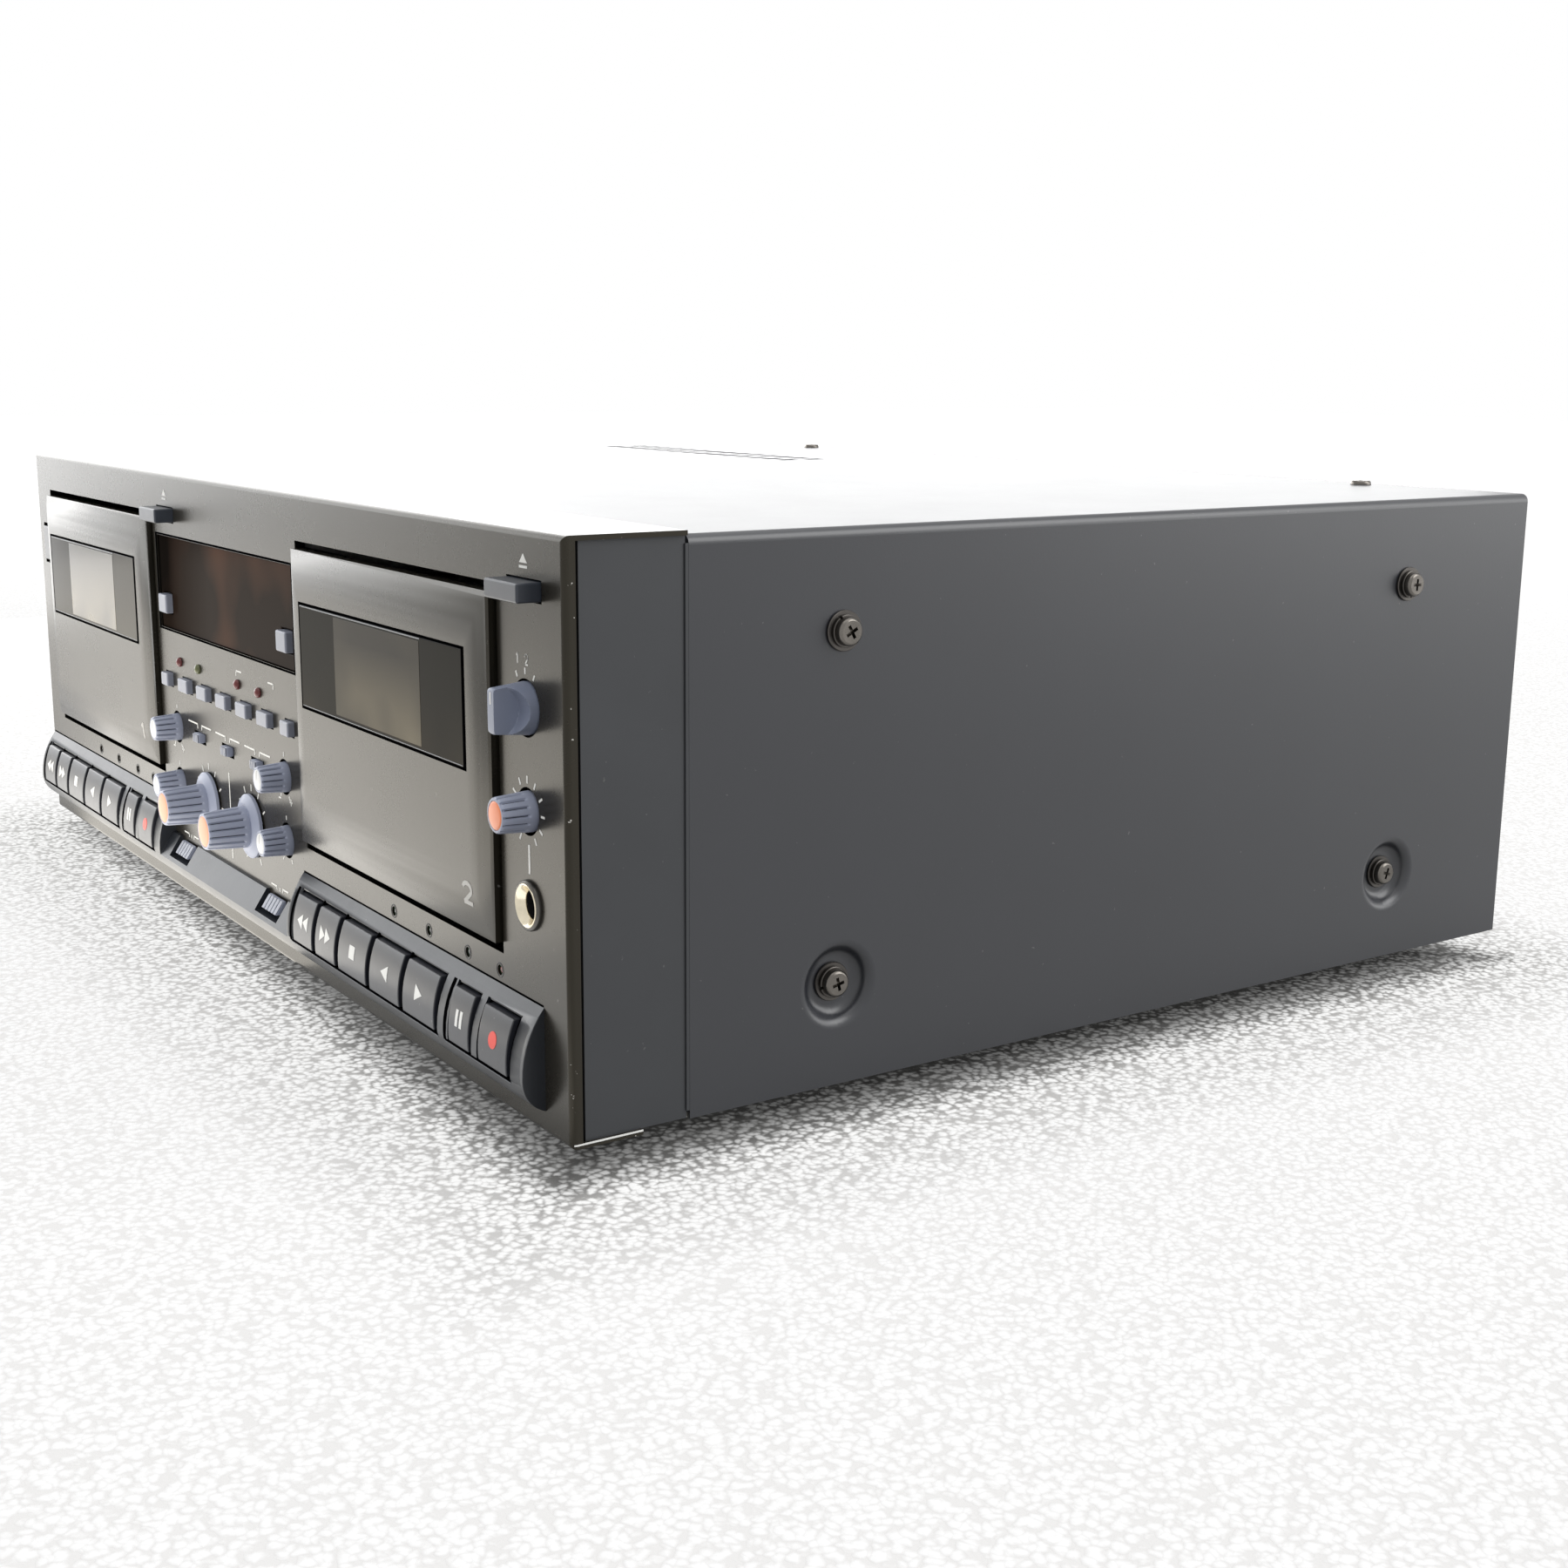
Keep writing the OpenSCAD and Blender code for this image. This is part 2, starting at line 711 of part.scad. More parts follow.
// Boards behind the right column, the power button and the keys
module side_boards() {
    block([side_x - 10, side_x + 12], [board_y, board_y + board_t], [jack_z + 7.8, selector_z + 11.4]);
    pot(side_x, selector_z, pot_w + 2);
    pot(side_x, phones_z, pot_w);
    for (x = [side_x - 7.5, side_x + 9]) for (z = [phones_z - 11, phones_z + 12]) post(x, z, board_y);
    block([power_x - 5, power_x + 5], [board_y, board_y + board_t], [power_z - 17, power_z + 17]);
    for (z = [power_z - 14.4, power_z + 14.4]) post(power_x, z, board_y);
    for (deck = [1, 2]) translate([rail_x(deck), 0, 0]) {
        block([rail_tail, rail_len - rail_tail], [key_board_y, key_board_y + board_t],
            [key_low - 1.8, rail_lamp_z + 2.6]);
        for (x = [forward_x, play_x, group_b - rail_bridge / 2 + key_gap / 2])
            post(x - key_gap / 2, key_low + 1.7, key_board_y);
        for (x = rail_lamps) rod(x, rail_lamp_z, lamp_r, [0.6, key_board_y + 1]);
    }
}

// Main board on the chassis floor
module main_board_set() {
    top = main_board_z + board_t;
    block(main_board, [main_board_front, main_board_rear], [main_board_z, top]);
    for (x = [main_board[0] + standoff_in, main_board[1] - standoff_in])
        for (y = [main_board_front + standoff_in, main_board_rear - standoff_in])
            translate([x, y, floor_top]) cylinder(r = standoff_r, h = main_board_z - floor_top);
    for (i = [0 : 5]) translate([i * 3.7 * can_r, main_board_front + 50, top]) cylinder(r = can_r, h = can_h);
    block([main_board[1] - 60, main_board[1] - 20], [main_board_rear - 70, main_board_rear - 64],
        [top, top + 36]);
}

module electronics() {
    color(board_col) place() {
        transformer();
        middle_board();
        side_boards();
        main_board_set();
    }
}

module mechanism(x) {
    difference() {
        union() {
            block([x - mech_x, x + mech_x], [mech_y, mech_y + mech_t], [mech_low, mech_top]);
            for (s = [-1, 1]) {
                rod(x + s * spindle_dx, spindle_z, spindle_r + 3.5, [mech_y - 2.5, mech_y + 8]);
                rod(x + s * flywheel_x, flywheel_z, flywheel_r, [mech_y + 6, mech_y + 13]);
                rod(x + s * flywheel_x, flywheel_z, 3, [mech_y + 1, tongue_y]);
                for (z = [mech_low + 5, mech_top - 5])
                    rod(x + s * (mech_x - 6), z, 3.5, [mech_y + 1, tongue_y]);
            }
            rod(x, motor_z, motor_r, [mech_y + 1, tongue_y]);
        }
        for (s = [-1, 1])
            rod(x + s * spindle_dx, spindle_z, spindle_r + shaft_fit, [mech_y - 4, mech_y + 9]);
    }
}

module deck_mechanisms() {
    color(metal_col) place() for (deck = [1, 2]) mechanism(door_x(deck));
}

module headphone_jack() {
    color(metal_col) place() difference() {
        union() {
            rod(side_x, jack_z, jack_r, [-1.4, 0]);
            rod(side_x, jack_z, jack_neck_r, [-0.5, panel_t + 0.5]);
            block([side_x - jack_r - 0.9, side_x + jack_r + 0.9], [panel_t, plug_deep + 2],
                [jack_z - jack_r - 0.4, jack_z + jack_r + 0.4]);
        }
        rod(side_x, jack_z, plug_r, [-2, plug_deep]);
    }
}

module rear_sockets() {
    face = rear_y + sheet_t;
    color(dark_col) place() {
        for (i = [0 : 3]) for (j = [0, 1])
            translate([socket_x + i * socket_pitch, 0, socket_z + j * socket_rise]) difference() {
                union() {
                    rod(0, 0, socket_flange_r, [face, face + 1]);
                    rod(0, 0, socket_r, [face + 0.5, jack_out]);
                    rod(0, 0, socket_neck_r, [rear_y - 6, face + 0.5]);
                }
                rod(0, 0, 1.6, [rear_y - 2, jack_out + 1]);
            }
        translate([inlet_x, 0, inlet_z]) difference() {
            union() {
                block([-inlet_w / 2 - inlet_rim, inlet_w / 2 + inlet_rim], [face, face + 1.2],
                    [-inlet_h / 2 - inlet_rim, inlet_h / 2 + inlet_rim]);
                block([-inlet_w / 2, inlet_w / 2], [rear_y - inlet_deep, face + 0.5],
                    [-inlet_h / 2, inlet_h / 2]);
            }
            block([inlet_wall - inlet_w / 2, inlet_w / 2 - inlet_wall], [rear_y - inlet_deep + 3, face + 5],
                [inlet_wall - inlet_h / 2, inlet_h / 2 - inlet_wall]);
        }
    }
}

// Plan of a door plate in x and y, with falling shoulders left and right
module door_plan() {
    flat = door_w / 2 - shoulder;
    r = arc_r(shoulder, door_drop);
    deep = door_proud + door_back;
    translate([-flat, -door_proud]) square([2 * flat, deep]);
    for (s = [-1, 1]) intersection() {
        translate([s * flat, r - door_proud]) circle(r = r);
        translate([s > 0 ? flat : -door_w / 2, -door_proud]) square([shoulder, deep]);
    }
}

// Side view of a door plate in y and z, with falling brows above and below
module door_profile() {
    deep = door_proud + door_back;
    up = arc_r(door_top - brow_top, door_drop);
    down = arc_r(brow_low - door_low, door_drop);
    translate([-door_proud, brow_low]) square([deep, brow_top - brow_low]);
    intersection() {
        translate([up - door_proud, brow_top]) circle(r = up);
        translate([-door_proud, brow_top]) square([deep, door_top - brow_top]);
    }
    intersection() {
        translate([down - door_proud, brow_low]) circle(r = down);
        translate([-door_proud, door_low]) square([deep, brow_low - door_low]);
    }
}

module cassette_door(deck) {
    color(panel_col) place() translate([door_x(deck), 0, 0]) {
        difference() {
            intersection() {
                translate([0, 0, door_low - 1]) linear_extrude(height = door_h + 2) door_plan();
                along_x([-door_w, door_w]) door_profile();
            }
            block([-window_w / 2, window_w / 2], [-door_proud - 1, glass_in + glass_t - door_proud],
                [window_z - window_h / 2, window_z + window_h / 2]);
            block([window_ledge - window_w / 2, window_w / 2 - window_ledge], [-door_proud, door_back + 1],
                [window_z - window_h / 2 + window_ledge, window_z + window_h / 2 - window_ledge]);
        }
        for (s = [-1, 1]) {
            block(span(s * holder_x, s * (holder_x + holder_wall)), [door_back - 0.5, holder_y],
                [holder_low, holder_top]);
            block(span(s * (holder_x - holder_lip), s * (holder_x + 1)), [holder_y - 1.5, holder_y],
                [holder_low, holder_top - 4]);
            block(span(s * (ear_x - ear_t), s * ear_x), [door_back - 0.5, hinge_y + 2],
                [hinge_z - 2, hinge_z + 3]);
            cross_rod(hinge_y, hinge_z, pin_r, span(s * (ear_x - 1), s * (lug_x + lug_t)));
        }
        block([-holder_x - 1, holder_x + 1], [door_back - 0.5, holder_y],
            [holder_low, holder_low + holder_wall]);
    }
}

module cassette_door_1() { cassette_door(1); }
module cassette_door_2() { cassette_door(2); }

module door_window(deck) {
    color(glass_col) place() translate([door_x(deck), 0, 0])
        block([-window_w / 2, window_w / 2], [glass_in - door_proud, glass_in + glass_t - door_proud],
            [window_z - window_h / 2, window_z + window_h / 2]);
}

module door_window_1() { door_window(1); }
module door_window_2() { door_window(2); }

module eject_button(deck) {
    color(knob_col) place() {
        block([eject_x(deck) - eject_w / 2, eject_x(deck) + eject_w / 2], [-eject_proud, panel_t + 4],
            [eject_z - eject_h / 2, eject_z + eject_h / 2]);
        block([eject_x(deck) - eject_w / 3, eject_x(deck) + eject_w / 3], [panel_t + 3, panel_t + eject_tail],
            [eject_z - eject_h / 3, eject_z + eject_h / 3]);
    }
}

module eject_button_1() { eject_button(1); }
module eject_button_2() { eject_button(2); }

module power_button() {
    color(key_col) place() {
        block([power_x - power_w / 2, power_x + power_w / 2], [-0.6, panel_t + 4],
            [power_z - power_h / 2, power_z + power_h / 2]);
        rod(power_x, power_z, 3, [panel_t + 3, board_y - power_travel - 1]);
    }
}

module reset_button(s) {
    color(knob_col) place()
        block([mid_x + s * reset_x - reset_w / 2, mid_x + s * reset_x + reset_w / 2],
            [-reset_proud, panel_t + 6], [reset_z - reset_h / 2, reset_z + reset_h / 2]);
}

module reset_button_1() { reset_button(-1); }
module reset_button_2() { reset_button(1); }

module function_button(i) {
    color(knob_col) place()
        block([button_x(i) - button_width(i) / 2, button_x(i) + button_width(i) / 2],
            [-button_proud, button_back], [button_z - button_h / 2, button_z + button_h / 2]);
}

module function_button_1() { function_button(1); }
module function_button_2() { function_button(2); }
module function_button_3() { function_button(3); }
module function_button_4() { function_button(4); }
module function_button_5() { function_button(5); }
module function_button_6() { function_button(6); }
module function_button_7() { function_button(7); }

// A key follows the rail's outline and slides on a stem through the panel
module transport_key(deck, i) {
    x = [rail_x(deck) + key_edges[i][0], rail_x(deck) + key_edges[i][1]];
    color(key_col) place() {
        intersection() {
            along_x(x) rail_outline(key_proud);
            block(x, [-rail_proud - 4, key_back], [key_low, key_top]);
        }
        rod((x[0] + x[1]) / 2, key_stem_z, key_stem_r, [key_back - 0.5, panel_t + 6]);
    }
}

module rewind_key_1() { transport_key(1, 0); }
module forward_key_1() { transport_key(1, 1); }
module stop_key_1() { transport_key(1, 2); }
module reverse_key_1() { transport_key(1, 3); }
module play_key_1() { transport_key(1, 4); }
module pause_key_1() { transport_key(1, 5); }
module record_key_1() { transport_key(1, 6); }
module rewind_key_2() { transport_key(2, 0); }
module forward_key_2() { transport_key(2, 1); }
module stop_key_2() { transport_key(2, 2); }
module reverse_key_2() { transport_key(2, 3); }
module play_key_2() { transport_key(2, 4); }
module pause_key_2() { transport_key(2, 5); }
module record_key_2() { transport_key(2, 6); }

// A fluted knob body along its axis, narrowing by taper towards its face
module fluted_body(r, taper, root, reach, flutes) {
    groove = 0.5;
    rim = 0.7;
    long = reach - rim - root;
    start = max(root, 0) + 1.4;
    lean = atan(taper / long);
    difference() {
        union() {
            translate([0, 0, root]) cylinder(r1 = r, r2 = r - taper, h = long);
            translate([0, 0, reach - rim]) cylinder(r1 = r - taper, r2 = r - taper - rim, h = rim);
        }
        for (i = [0 : flutes - 1])
            rotate(i * 360 / flutes)
                translate([r + 0.15 - taper * (start - root) / long, 0, start]) rotate([0, -lean, 0])
                    cylinder(r = groove, h = reach);
    }
}

// A knob's shaft from its body into the control behind the panel
module knob_shaft(root) {
    translate([0, 0, 1.5 - board_y]) cylinder(r = shaft_r, h = root + board_y - 1);
}

module small_knob(x, z, r) {
    color(knob_col) place() facing(x, z) {
        fluted_body(r, small_taper, -1, small_reach, 14);
        knob_shaft(-1);
    }
}

module input_knob(s) {
    color(knob_col) place() facing(mid_x + s * input_dx, input_z) {
        translate([0, 0, 0.4]) cylinder(r = flange_r, h = 1.2);
        translate([0, 0, 1.6]) cylinder(r1 = flange_r - 0.8, r2 = flange_r - 1.6, h = 1);
        fluted_body(input_r, input_taper, 2.6, input_reach, 16);
        knob_shaft(0.4);
    }
}

module selector_knob() {
    color(knob_col) place() facing(side_x, selector_z) {
        difference() {
            union() {
                translate([0, 0, -1]) cylinder(r = selector_r, h = 1);
                cylinder(r1 = selector_r, r2 = selector_nose, h = selector_reach);
            }
            for (x = [selector_blade / 2, -selector_blade / 2 - 2 * selector_r]) intersection() {
                translate([0, 0, selector_reach]) rotate([0, 90, 0])
                    cylinder(r = scoop_r, h = 4 * selector_r, center = true);
                translate([x, -2 * selector_r, 0])
                    cube([2 * selector_r, 4 * selector_r, 2 * selector_reach]);
            }
        }
        knob_shaft(-1);
    }
}

module phones_knob() { small_knob(side_x, phones_z, small_r + 0.3); }
module pitch_knob_1() { small_knob(mid_x - small_dx, pitch_z, small_r); }
module pitch_knob_2() { small_knob(mid_x + small_dx, pitch_z, small_r); }
module balance_knob_1() { small_knob(mid_x - small_dx, balance_z, small_r); }
module balance_knob_2() { small_knob(mid_x + small_dx, balance_z, small_r); }
module input_knob_1() { input_knob(-1); }
module input_knob_2() { input_knob(1); }

// A slide switch's thumb piece, with a stem through the panel's slot
module slide_thumb(x, z, w, h, out, root) {
    color(knob_col) place() {
        difference() {
            block([x - w / 2, x + w / 2], [-out, root], [z - h / 2, z + h / 2]);
            for (i = [-1, 0, 1])
                block([x + i * w / 4 - 0.3, x + i * w / 4 + 0.3], [-out - 1, 0.4 - out], [z - h, z + h]);
        }
        block([x - stem_w / 2, x + stem_w / 2], [root - 0.4, panel_t + 3], [z - stem_h / 2, z + stem_h / 2]);
    }
}

module slide_switch_1() { slide_thumb(mid_x - slide_dx, slide_z, slide_w, slide_h, 1.8, 1); }
module slide_switch_2() { slide_thumb(mid_x, slide_z, slide_w, slide_h, 1.8, 1); }
module slide_switch_3() { slide_thumb(mid_x + slide_dx, slide_z, slide_w, slide_h, 1.8, 1); }

// A wide thumb piece whose face lies along the slope of the rail's middle
module low_thumb(s) {
    x = mid_x + s * low_slide_dx;
    low = low_slide_z - low_slide_h / 2;
    high = low_slide_z + low_slide_h / 2;
    front = -1.4 - low_slide_h / mid_slope;
    color(knob_col) place() {
        along_x([x - low_slide_w / 2, x + low_slide_w / 2])
            polygon([[-0.5, low], [front, low], [-1.4, high], [-0.5, high]]);
        block([x - stem_w / 2, x + stem_w / 2], [-0.9, panel_t + 3],
            [low_slide_z - stem_h / 2, low_slide_z + stem_h / 2]);
    }
}

module slide_switch_4() { low_thumb(-1); }
module slide_switch_5() { low_thumb(1); }

// A reel spindle with three driving fins
module spindle(x) {
    rod(x, spindle_z, spindle_r, [spindle_tip + 2, mech_y + 8]);
    rod(x, spindle_z, spindle_hub_r, [spindle_tip, mech_y - 3]);
    translate([x, 0, spindle_z]) for (a = [90, 210, 330]) rotate([0, a, 0])
        block([spindle_hub_r - 0.7, spindle_hub_r + 1.2], [spindle_tip + 2, mech_y - 4.5], [-0.7, 0.7]);
    rod(x, spindle_z, spindle_disc_r, [mech_y - 5, mech_y - 3]);
}

module reel_spindle(deck, s) { color(dark_col) place() spindle(door_x(deck) + s * spindle_dx); }
module supply_spindle_1() { reel_spindle(1, -1); }
module takeup_spindle_1() { reel_spindle(1, 1); }
module supply_spindle_2() { reel_spindle(2, -1); }
module takeup_spindle_2() { reel_spindle(2, 1); }

front_panel();
front_frame();
key_rail();
display_window();
chassis();
top_cover();
rear_panel();
cover_screws();
feet();
electronics();
deck_mechanisms();
headphone_jack();
rear_sockets();
cassette_door_1();
cassette_door_2();
door_window_1();
door_window_2();
eject_button_1();
eject_button_2();
power_button();
reset_button_1();
reset_button_2();
function_button_1();
function_button_2();
function_button_3();
function_button_4();
function_button_5();
function_button_6();
function_button_7();
rewind_key_1();
forward_key_1();
stop_key_1();
reverse_key_1();
play_key_1();
pause_key_1();
record_key_1();
rewind_key_2();
forward_key_2();
stop_key_2();
reverse_key_2();
play_key_2();
pause_key_2();
record_key_2();
selector_knob();
phones_knob();
pitch_knob_1();
pitch_knob_2();
balance_knob_1();
balance_knob_2();
input_knob_1();
input_knob_2();
slide_switch_1();
slide_switch_2();
slide_switch_3();
slide_switch_4();
slide_switch_5();
supply_spindle_1();
takeup_spindle_1();
supply_spindle_2();
takeup_spindle_2();
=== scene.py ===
"""Looks of the double cassette deck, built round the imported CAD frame.

Sizes below are millimetres in the front panel's own coordinates: x to the right, y from the
panel's face to the back, z up from the panel's lower edge. They are turned into the shared frame
when a piece is finished.
"""
import math

import bmesh
import bpy
from mathutils import Matrix, Vector
from mathutils.geometry import tessellate_polygon


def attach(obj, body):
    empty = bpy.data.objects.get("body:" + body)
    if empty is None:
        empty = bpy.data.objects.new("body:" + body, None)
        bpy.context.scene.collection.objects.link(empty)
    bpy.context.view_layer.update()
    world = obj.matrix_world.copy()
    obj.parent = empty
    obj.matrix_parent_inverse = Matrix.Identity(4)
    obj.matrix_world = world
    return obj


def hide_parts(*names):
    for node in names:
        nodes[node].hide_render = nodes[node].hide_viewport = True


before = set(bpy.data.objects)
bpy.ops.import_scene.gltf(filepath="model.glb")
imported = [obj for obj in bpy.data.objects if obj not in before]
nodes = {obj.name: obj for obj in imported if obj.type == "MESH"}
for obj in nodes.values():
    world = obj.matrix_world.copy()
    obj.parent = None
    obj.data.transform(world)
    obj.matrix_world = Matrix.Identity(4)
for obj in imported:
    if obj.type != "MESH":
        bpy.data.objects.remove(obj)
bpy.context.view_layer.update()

# Where the panel lies in the shared frame: its face before the middle, its lower edge above the floor
MID_Y = 163.25
FOOT = 7.0

# Layout of the front: half its width, the middle between the doors and the right column
HALF = 218.0
MID = -7.25
SIDE = 199.0

# Doors by their middle, with the lower shoulder's start, height and fall, and the eject buttons
DOORS = {1: -136.0, 2: 121.5}
DOOR_OUT = 3.6
SHOULDER_Z = 56.5
SHOULDER_RUN = 14.9
SHOULDER_FALL = 2.0
EJECTS = {i: x + SIDE - DOORS[2] for i, x in DOORS.items()}
EJECT_Z = 127.7

# Controls of the right column and of the middle; names in _X count from the middle between the doors
SELECTOR_Z = 100.6
PHONES_Z = 76.5
JACK_Z = 54.2
DISPLAY = (MID - 61.2, MID + 61.2, 89.8, 120.5)
FUNCTION_Z = 72.7
FUNCTION_STEP = 18.4
RESET_X = 54.5
RESET_Z = 98.1
SMALL_KNOB_X = 49.3
PITCH_Z = 57.2
BALANCE_Z = 38.0
INPUT_X = 19.72
INPUT_Z = 36.7
SWITCH_X = 26.622
SWITCH_Z = 57.0
LOW_SWITCH_X = 41.1

# Raised parts of the key rail by their left end, and what lies along them, x from that end
RAILS = {1: -215.7, 2: 54.6}
RAIL_LEN = 150.8
RAIL_MID = 14.0
RAIL_OUT = 6.0
RAIL_LAMPS = (65.2, 87.4, 110.4, 128.2)
RAIL_LAMP_Z = 34.4
ICON_Z = 19.9
KEY_Z = (12.9, 26.7)
KEYS = {
    "rewind": (6.1, 20.4),
    "forward": (23.0, 37.3),
    "stop": (39.9, 59.1),
    "reverse": (61.7, 80.9),
    "play": (83.5, 102.7),
    "pause": (111.3, 122.6),
    "record": (128.0, 143.1),
}

# Number and side of things that come in pairs
PAIR = ((1, -1), (2, 1))

# Layout of the case
REAR = 332.3
COVER_X = 217.4
INLET_X = 79.0 - HALF

TO_FRAME = Matrix.Scale(0.001, 4) @ Matrix.Translation((0.0, -MID_Y, FOOT))


def axes(x, y, z, origin):
    """Matrix with these axes as columns."""
    m = Matrix((x, y, z)).transposed().to_4x4()
    m.translation = Vector(origin)
    return m


def facing_front(x, z):
    """Place on the panel's face whose z axis points to the front."""
    return axes((1, 0, 0), (0, 0, 1), (0, -1, 0), (x, 0.0, z))


def facing_back(x, z, y):
    """Place whose z axis points to the back."""
    return axes((-1, 0, 0), (0, 0, 1), (0, 1, 0), (x, y, z))


def facing_side(s, x, y, z):
    """Place whose z axis points to the right, or to the left where s is -1."""
    return axes((0, s, 0), (0, 0, 1), (s, 0, 0), (x, y, z))


# For outlines in y and z that are drawn out along x
ALONG_X = axes((0, 1, 0), (0, 0, 1), (1, 0, 0), (0, 0, 0))


def spread(a, b, steps):
    """Evenly spaced numbers from a to b."""
    return [a + (b - a) * k / steps for k in range(steps + 1)]


# Materials

WHITE = (1.0, 1.0, 1.0, 1.0)
BLACK = (0.0, 0.0, 0.0, 1.0)


def lin(rgb):
    """A colour from 0 to 255 as the linear colour that shaders take."""
    out = []
    for c in rgb:
        c = c / 255.0
        out.append(c / 12.92 if c <= 0.04045 else ((c + 0.055) / 1.055) ** 2.4)
    return (*out, 1.0)


def toned(base, factor):
    """A linear colour made darker or paler."""
    return tuple(min(1.0, c * factor) for c in base[:3]) + (1.0,)


class Mat:
    """A principled material whose nodes hang on object coordinates."""

    def __init__(self, name):
        self.mat = bpy.data.materials.new(name)
        self.mat.use_nodes = True
        self.tree = self.mat.node_tree
        self.shader = self.tree.nodes["Principled BSDF"]
        self.coord = self.new("ShaderNodeTexCoord").outputs["Object"]

    def new(self, kind, **values):
        node = self.tree.nodes.new(kind)
        for key, value in values.items():
            setattr(node, key, value)
        return node

    def link(self, a, b):
        self.tree.links.new(a, b)

    def noise(self, scale, detail=3.0, rough=0.55, stretch=None):
        node = self.new("ShaderNodeTexNoise")
        node.inputs["Scale"].default_value = scale
        node.inputs["Detail"].default_value = detail
        node.inputs["Roughness"].default_value = rough
        source = self.coord
        if stretch:
            mapping = self.new("ShaderNodeMapping")
            mapping.inputs["Scale"].default_value = stretch
            self.link(source, mapping.inputs["Vector"])
            source = mapping.outputs["Vector"]
        self.link(source, node.inputs["Vector"])
        return node.outputs["Fac"]

    def ramp(self, value, low, high, to_low=0.0, to_high=1.0):
        node = self.new("ShaderNodeMapRange")
        node.inputs["From Min"].default_value = low
        node.inputs["From Max"].default_value = high
        node.inputs["To Min"].default_value = to_low
        node.inputs["To Max"].default_value = to_high
        self.link(value, node.inputs["Value"])
        return node.outputs["Result"]

    def math(self, op, a, b):
        node = self.new("ShaderNodeMath", operation=op)
        for socket, value in zip(node.inputs, (a, b)):
            if isinstance(value, (int, float)):
                socket.default_value = value
            else:
                self.link(value, socket)
        return node.outputs[0]

    def within(self, value, low, high):
        """1 where a value lies between two limits, else 0."""
        above = self.math("GREATER_THAN", value, low)
        return self.math("MULTIPLY", above, self.math("LESS_THAN", value, high))

    def mix(self, fac, a, b):
        node = self.new("ShaderNodeMix", data_type="RGBA")
        self.link(fac, node.inputs[0])
        for socket, value in ((node.inputs[6], a), (node.inputs[7], b)):
            if isinstance(value, tuple):
                socket.default_value = value
            else:
                self.link(value, socket)
        return node.outputs[2]

    def axis(self, name):
        node = self.new("ShaderNodeSeparateXYZ")
        self.link(self.coord, node.inputs[0])
        return node.outputs[name]

    def bump(self, value, strength, distance):
        """Raises the surface by a value, on top of an earlier bump."""
        node = self.new("ShaderNodeBump")
        node.inputs["Strength"].default_value = strength
        node.inputs["Distance"].default_value = distance
        self.link(value, node.inputs["Height"])
        before = self.shader.inputs["Normal"]
        if before.is_linked:
            self.link(before.links[0].from_socket, node.inputs["Normal"])
        self.link(node.outputs["Normal"], before)

    def set(self, **values):
        """Sets shader inputs by name, with _ for a space."""
        for key, value in values.items():
            self.shader.inputs[key.replace("_", " ")].default_value = value
        return self


def satin(name, rgb, rough, vary=0.10, grain=1400.0, depth=0.25, dust=0.0, ior=1.5, cloud=0.03, tint=WHITE):
    """Paint or moulded plastic: cloudy tone, fine grain, uneven gloss and stray dust."""
    m = Mat(name)
    base = lin(rgb)
    colour = m.mix(m.ramp(m.noise(28.0, 4.0), 0.3, 0.7), toned(base, 1 - vary), toned(base, 1 + vary))
    if dust:
        spots = m.ramp(m.noise(520.0, 2.0), 0.735, 0.775, 0.0, dust)
        colour = m.mix(spots, colour, lin((176, 174, 170)))
    m.link(colour, m.shader.inputs["Base Color"])
    patch = m.math("ADD", m.noise(45.0, 5.0), m.math("MULTIPLY", m.noise(420.0, 2.0), 0.6))
    m.link(m.ramp(patch, 0.5, 1.1, rough - cloud, rough + cloud), m.shader.inputs["Roughness"])
    m.bump(m.noise(grain, 2.0), depth, 0.00004)
    m.set(IOR=ior, Specular_Tint=tint)
    return m


def wear_and_painted_shade(m, bare_metal):
    """Bare spots on the panel's upright edges, black walls in its openings as painted shade, and a pale edge
    at its foot.
    """
    colour = m.shader.inputs["Base Color"].links[0].from_socket
    x = m.math("ABSOLUTE", m.axis("X"), 0.0)
    y = m.axis("Y")
    z = m.axis("Z")
    edge = m.ramp(x, 0.2166, 0.2176)
    spots = m.ramp(m.noise(520.0, 3.0, 0.6), 0.70, 0.725)
    colour = m.mix(m.math("MULTIPLY", edge, spots), colour, bare_metal)
    # The walls of the panel's openings turn near-black: painted shade
    painted_shade_walls = m.math("MULTIPLY", m.math("LESS_THAN", x, 0.2155), m.math("GREATER_THAN", y, -0.1629))
    painted_shade_walls = m.math("MULTIPLY", painted_shade_walls, m.within(z, 0.009, 0.1435))
    colour = m.mix(painted_shade_walls, colour, lin((9, 9, 10)))
    foot = m.math("MULTIPLY", m.math("GREATER_THAN", x, 0.2178), m.math("GREATER_THAN", y, -0.1625))
    foot = m.math("MULTIPLY", foot, m.within(z, 0.0078, 0.00825))
    m.link(m.mix(foot, colour, lin((226, 226, 223))), m.shader.inputs["Base Color"])


def metal(name, rgb, rough, brushed=None):
    """Metal with a cloudy tone, uneven gloss and a fine grain, stretched where it is brushed."""
    m = Mat(name)
    base = lin(rgb)
    colour = m.mix(m.ramp(m.noise(160.0, 4.0), 0.35, 0.7), toned(base, 0.78), base)
    m.link(colour, m.shader.inputs["Base Color"])
    m.link(m.ramp(m.noise(300.0, 3.0), 0.3, 0.7, rough - 0.07, rough + 0.09), m.shader.inputs["Roughness"])
    m.bump(m.noise(700.0, 2.0, stretch=brushed), 0.15, 0.00003)
    m.set(Metallic=1.0)
    return m


